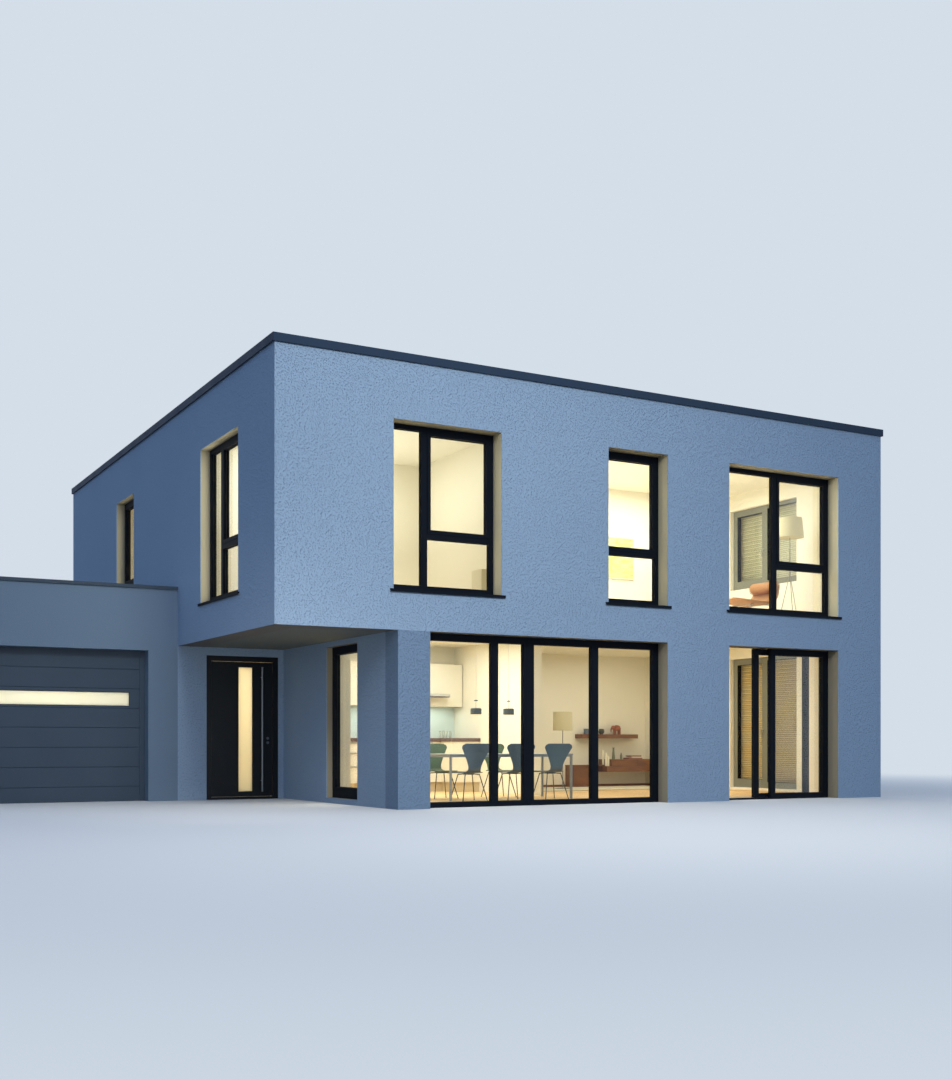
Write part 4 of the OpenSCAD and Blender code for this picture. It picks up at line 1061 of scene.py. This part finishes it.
def skirting():
    """A low wooden board along the foot of the walls that can be seen."""
    top = FLOOR + 0.042
    shape = Shape()
    near, far, back = KITCHEN_RIGHT + 0.001, HOUSE_W - WALL - 0.001, LIVING_BACK - 0.001
    thick = 0.013
    shape.box((near, back - thick, FLOOR), (far, back, top), 0.003)
    shape.box((near, 2.702, FLOOR), (near + thick, back - thick - 0.001, top), 0.003)
    shape.box((far - thick, 3.42, FLOOR), (far, back - thick - 0.001, top), 0.003)
    shape.place("skirting_boards", WALNUT, "wood")


skirting()


# Camera, floor, backdrop and lights

def make_camera():
    data = bpy.data.cameras.new("camera")
    data.lens = 43.76
    data.sensor_width = 36.0
    data.shift_y = 0.1894
    data.clip_end = 400.0
    camera = bpy.data.objects.new("camera", data)
    camera.location = at(-5.966, -16.048, 0.885)
    camera.rotation_euler = (math.radians(90), 0, math.radians(-29.12))
    bpy.context.scene.collection.objects.link(camera)
    bpy.context.scene.camera = camera


BACKDROP = shown(212, 222, 233)


def make_floor():
    """A pale floor that runs into the backdrop away from the house."""
    bm = bmesh.new()
    bmesh.ops.create_circle(bm, cap_ends=True, segments=96, radius=180.0)
    mesh = bpy.data.meshes.new("floor")
    bm.to_mesh(mesh)
    bm.free()
    floor = bpy.data.objects.new("floor", mesh)
    bpy.context.scene.collection.objects.link(floor)
    p = Paint("studio_floor")
    path = p.add("ShaderNodeLightPath")
    seen = p.calc("MAXIMUM", path.outputs["Is Camera Ray"], path.outputs["Is Glossy Ray"])
    near = p.add("ShaderNodeBsdfDiffuse")
    p.put(near.inputs["Color"], p.mix(seen, shown(138, 134, 128), shown(222, 224, 227)))
    far = p.add("ShaderNodeEmission")
    far.inputs["Color"].default_value = BACKDROP
    away = p.calc("POWER", p.calc("ADD", p.calc("POWER", p.calc("SUBTRACT", p.x, 3.4), 2.0),
                                  p.calc("POWER", p.calc("SUBTRACT", p.y, 5.9), 2.0)), 0.5)
    share = p.calc("MULTIPLY", p.step(away, 9.0, 24.0), seen)
    mesh.materials.append(p.end(p.blend(share, near, far)))


def make_world(fill, strength):
    """Even light on the house, and the backdrop where the sky would show."""
    world = bpy.data.worlds.new("studio")
    bpy.context.scene.world = world
    world.use_nodes = True
    tree = world.node_tree
    tree.nodes.clear()
    path, seen, light, sight, mixer, out = [
        tree.nodes.new("ShaderNode" + kind)
        for kind in ("LightPath", "Math", "Background", "Background", "MixShader", "OutputWorld")]
    seen.operation = "MAXIMUM"
    light.inputs["Color"].default_value = fill
    light.inputs["Strength"].default_value = strength
    sight.inputs["Color"].default_value = BACKDROP
    for source, socket in ((path.outputs["Is Camera Ray"], seen.inputs[0]),
                           (path.outputs["Is Glossy Ray"], seen.inputs[1]),
                           (seen.outputs[0], mixer.inputs[0]),
                           (light.outputs[0], mixer.inputs[1]),
                           (sight.outputs[0], mixer.inputs[2]),
                           (mixer.outputs[0], out.inputs["Surface"])):
        tree.links.new(source, socket)


def area_lamp(name, place, aim, size, power, color, spread=180):
    data = bpy.data.lights.new(name, "AREA")
    data.shape = "RECTANGLE"
    data.size, data.size_y = size
    data.energy = power
    data.color = color
    data.spread = math.radians(spread)
    lamp = bpy.data.objects.new(name, data)
    lamp.location = place
    lamp.rotation_mode = "QUATERNION"
    lamp.rotation_quaternion = (aim - place).to_track_quat("-Z", "Y")
    lamp.visible_camera = False
    lamp.visible_glossy = False
    bpy.context.scene.collection.objects.link(lamp)


ROOM_LIGHT = (0.95, 1.0, 1.0)


def room_lamp(name, x0, x1, y0, y1, top, power, lift=0.0, color=ROOM_LIGHT):
    """A lamp under a ceiling over most of a room, and one below it that lights the ceiling."""
    place = at((x0 + x1) / 2, (y0 + y1) / 2, top - 0.06)
    size = (0.7 * (x1 - x0), 0.7 * (y1 - y0))
    area_lamp(name, place, place - Vector((0, 0, 1)), size, power, color)
    if lift:
        area_lamp(name + "_lift", place - Vector((0, 0, 1.5)), place, size, lift, color)


def window_glow(name, place, towards, size, power):
    """The light of a lit window on its reveals: a warm lamp in front of the panes."""
    area_lamp(name, at(*place), at(*place) + Vector(towards), size, power, (1.0, 0.9, 0.68))


bpy.context.scene.view_settings.view_transform = "Standard"
make_camera()
make_floor()
make_world(shown(195, 219, 254), 0.6)
area_lamp("key", at(0.6, -12.5, 10.6), at(2.8, 0.0, 2.0), (5, 4), 520.0, (1.0, 0.97, 0.87),
          spread=108)
area_lamp("back_fill", at(13.0, 25.0, 12.0), at(6.0, 11.8, 2.4), (6, 4), 420.0,
          (1.0, 0.98, 0.94), spread=108)
area_lamp("porch_light", at(-1.8, -3.6, 1.6), at(0.8, 3.2, 1.2), (2.4, 1.6), 16.0,
          (1.0, 0.9, 0.78), spread=70)
room_lamp("dining_light", 2.2, 5.5, 0.5, 5.4, CEILING, 106)
room_lamp("living_light", 5.8, 10.3, 0.5, 6.0, CEILING, 63)
area_lamp("terrace_light", at(8.2, 2.2, 1.5), at(10.4, 2.6, 1.3), (0.5, 1.5), 14.0,
          (1.0, 0.86, 0.56))
room_lamp("hall_light", 0.6, 2.8, 4.9, 8.0, CEILING, 69, 0, (0.88, 1.0, 1.0))
room_lamp("back_light", 3.0, 10.3, 6.4, 11.3, CEILING, 170)
room_lamp("left_room_light", 0.1, 3.7, 0.8, 4.1, UPPER_CEILING, 37, 28)
room_lamp("right_room_light", 4.3, 10.3, 0.5, 3.8, UPPER_CEILING, 135, 20)
room_lamp("upper_back_light", 0.6, 10.3, 4.2, 11.3, UPPER_CEILING, 220)
room_lamp("garage_light", -3.5, -0.4, 4.8, 10.4, 2.55, 225, 0, (1.0, 1.0, 0.98))
area_lamp("worktop_light", at(4.1, 5.3, 1.565), at(4.1, 5.3, 0.0), (2.6, 0.05), 7.0,
          (0.84, 1.0, 0.96))

# Front windows 1 to 3, then the nearer and the farther window of the left wall
MIDDLE = 4.14
for number, x, y, towards, width, power in ((1, 2.545, 0.232, (0, -1, 0), 1.6, 8),
                                            (2, 5.77, 0.232, (0, -1, 0), 1.0, 1),
                                            (3, 8.68, 0.232, (0, -1, 0), 2.2, 14),
                                            (4, 0.142, 2.29, (-1, 0, 0), 1.6, 11),
                                            (5, 0.142, 7.62, (-1, 0, 0), 1.1, 6)):
    window_glow("glow_%d" % number, (x, y, MIDDLE), towards, (width, 2.2), power)
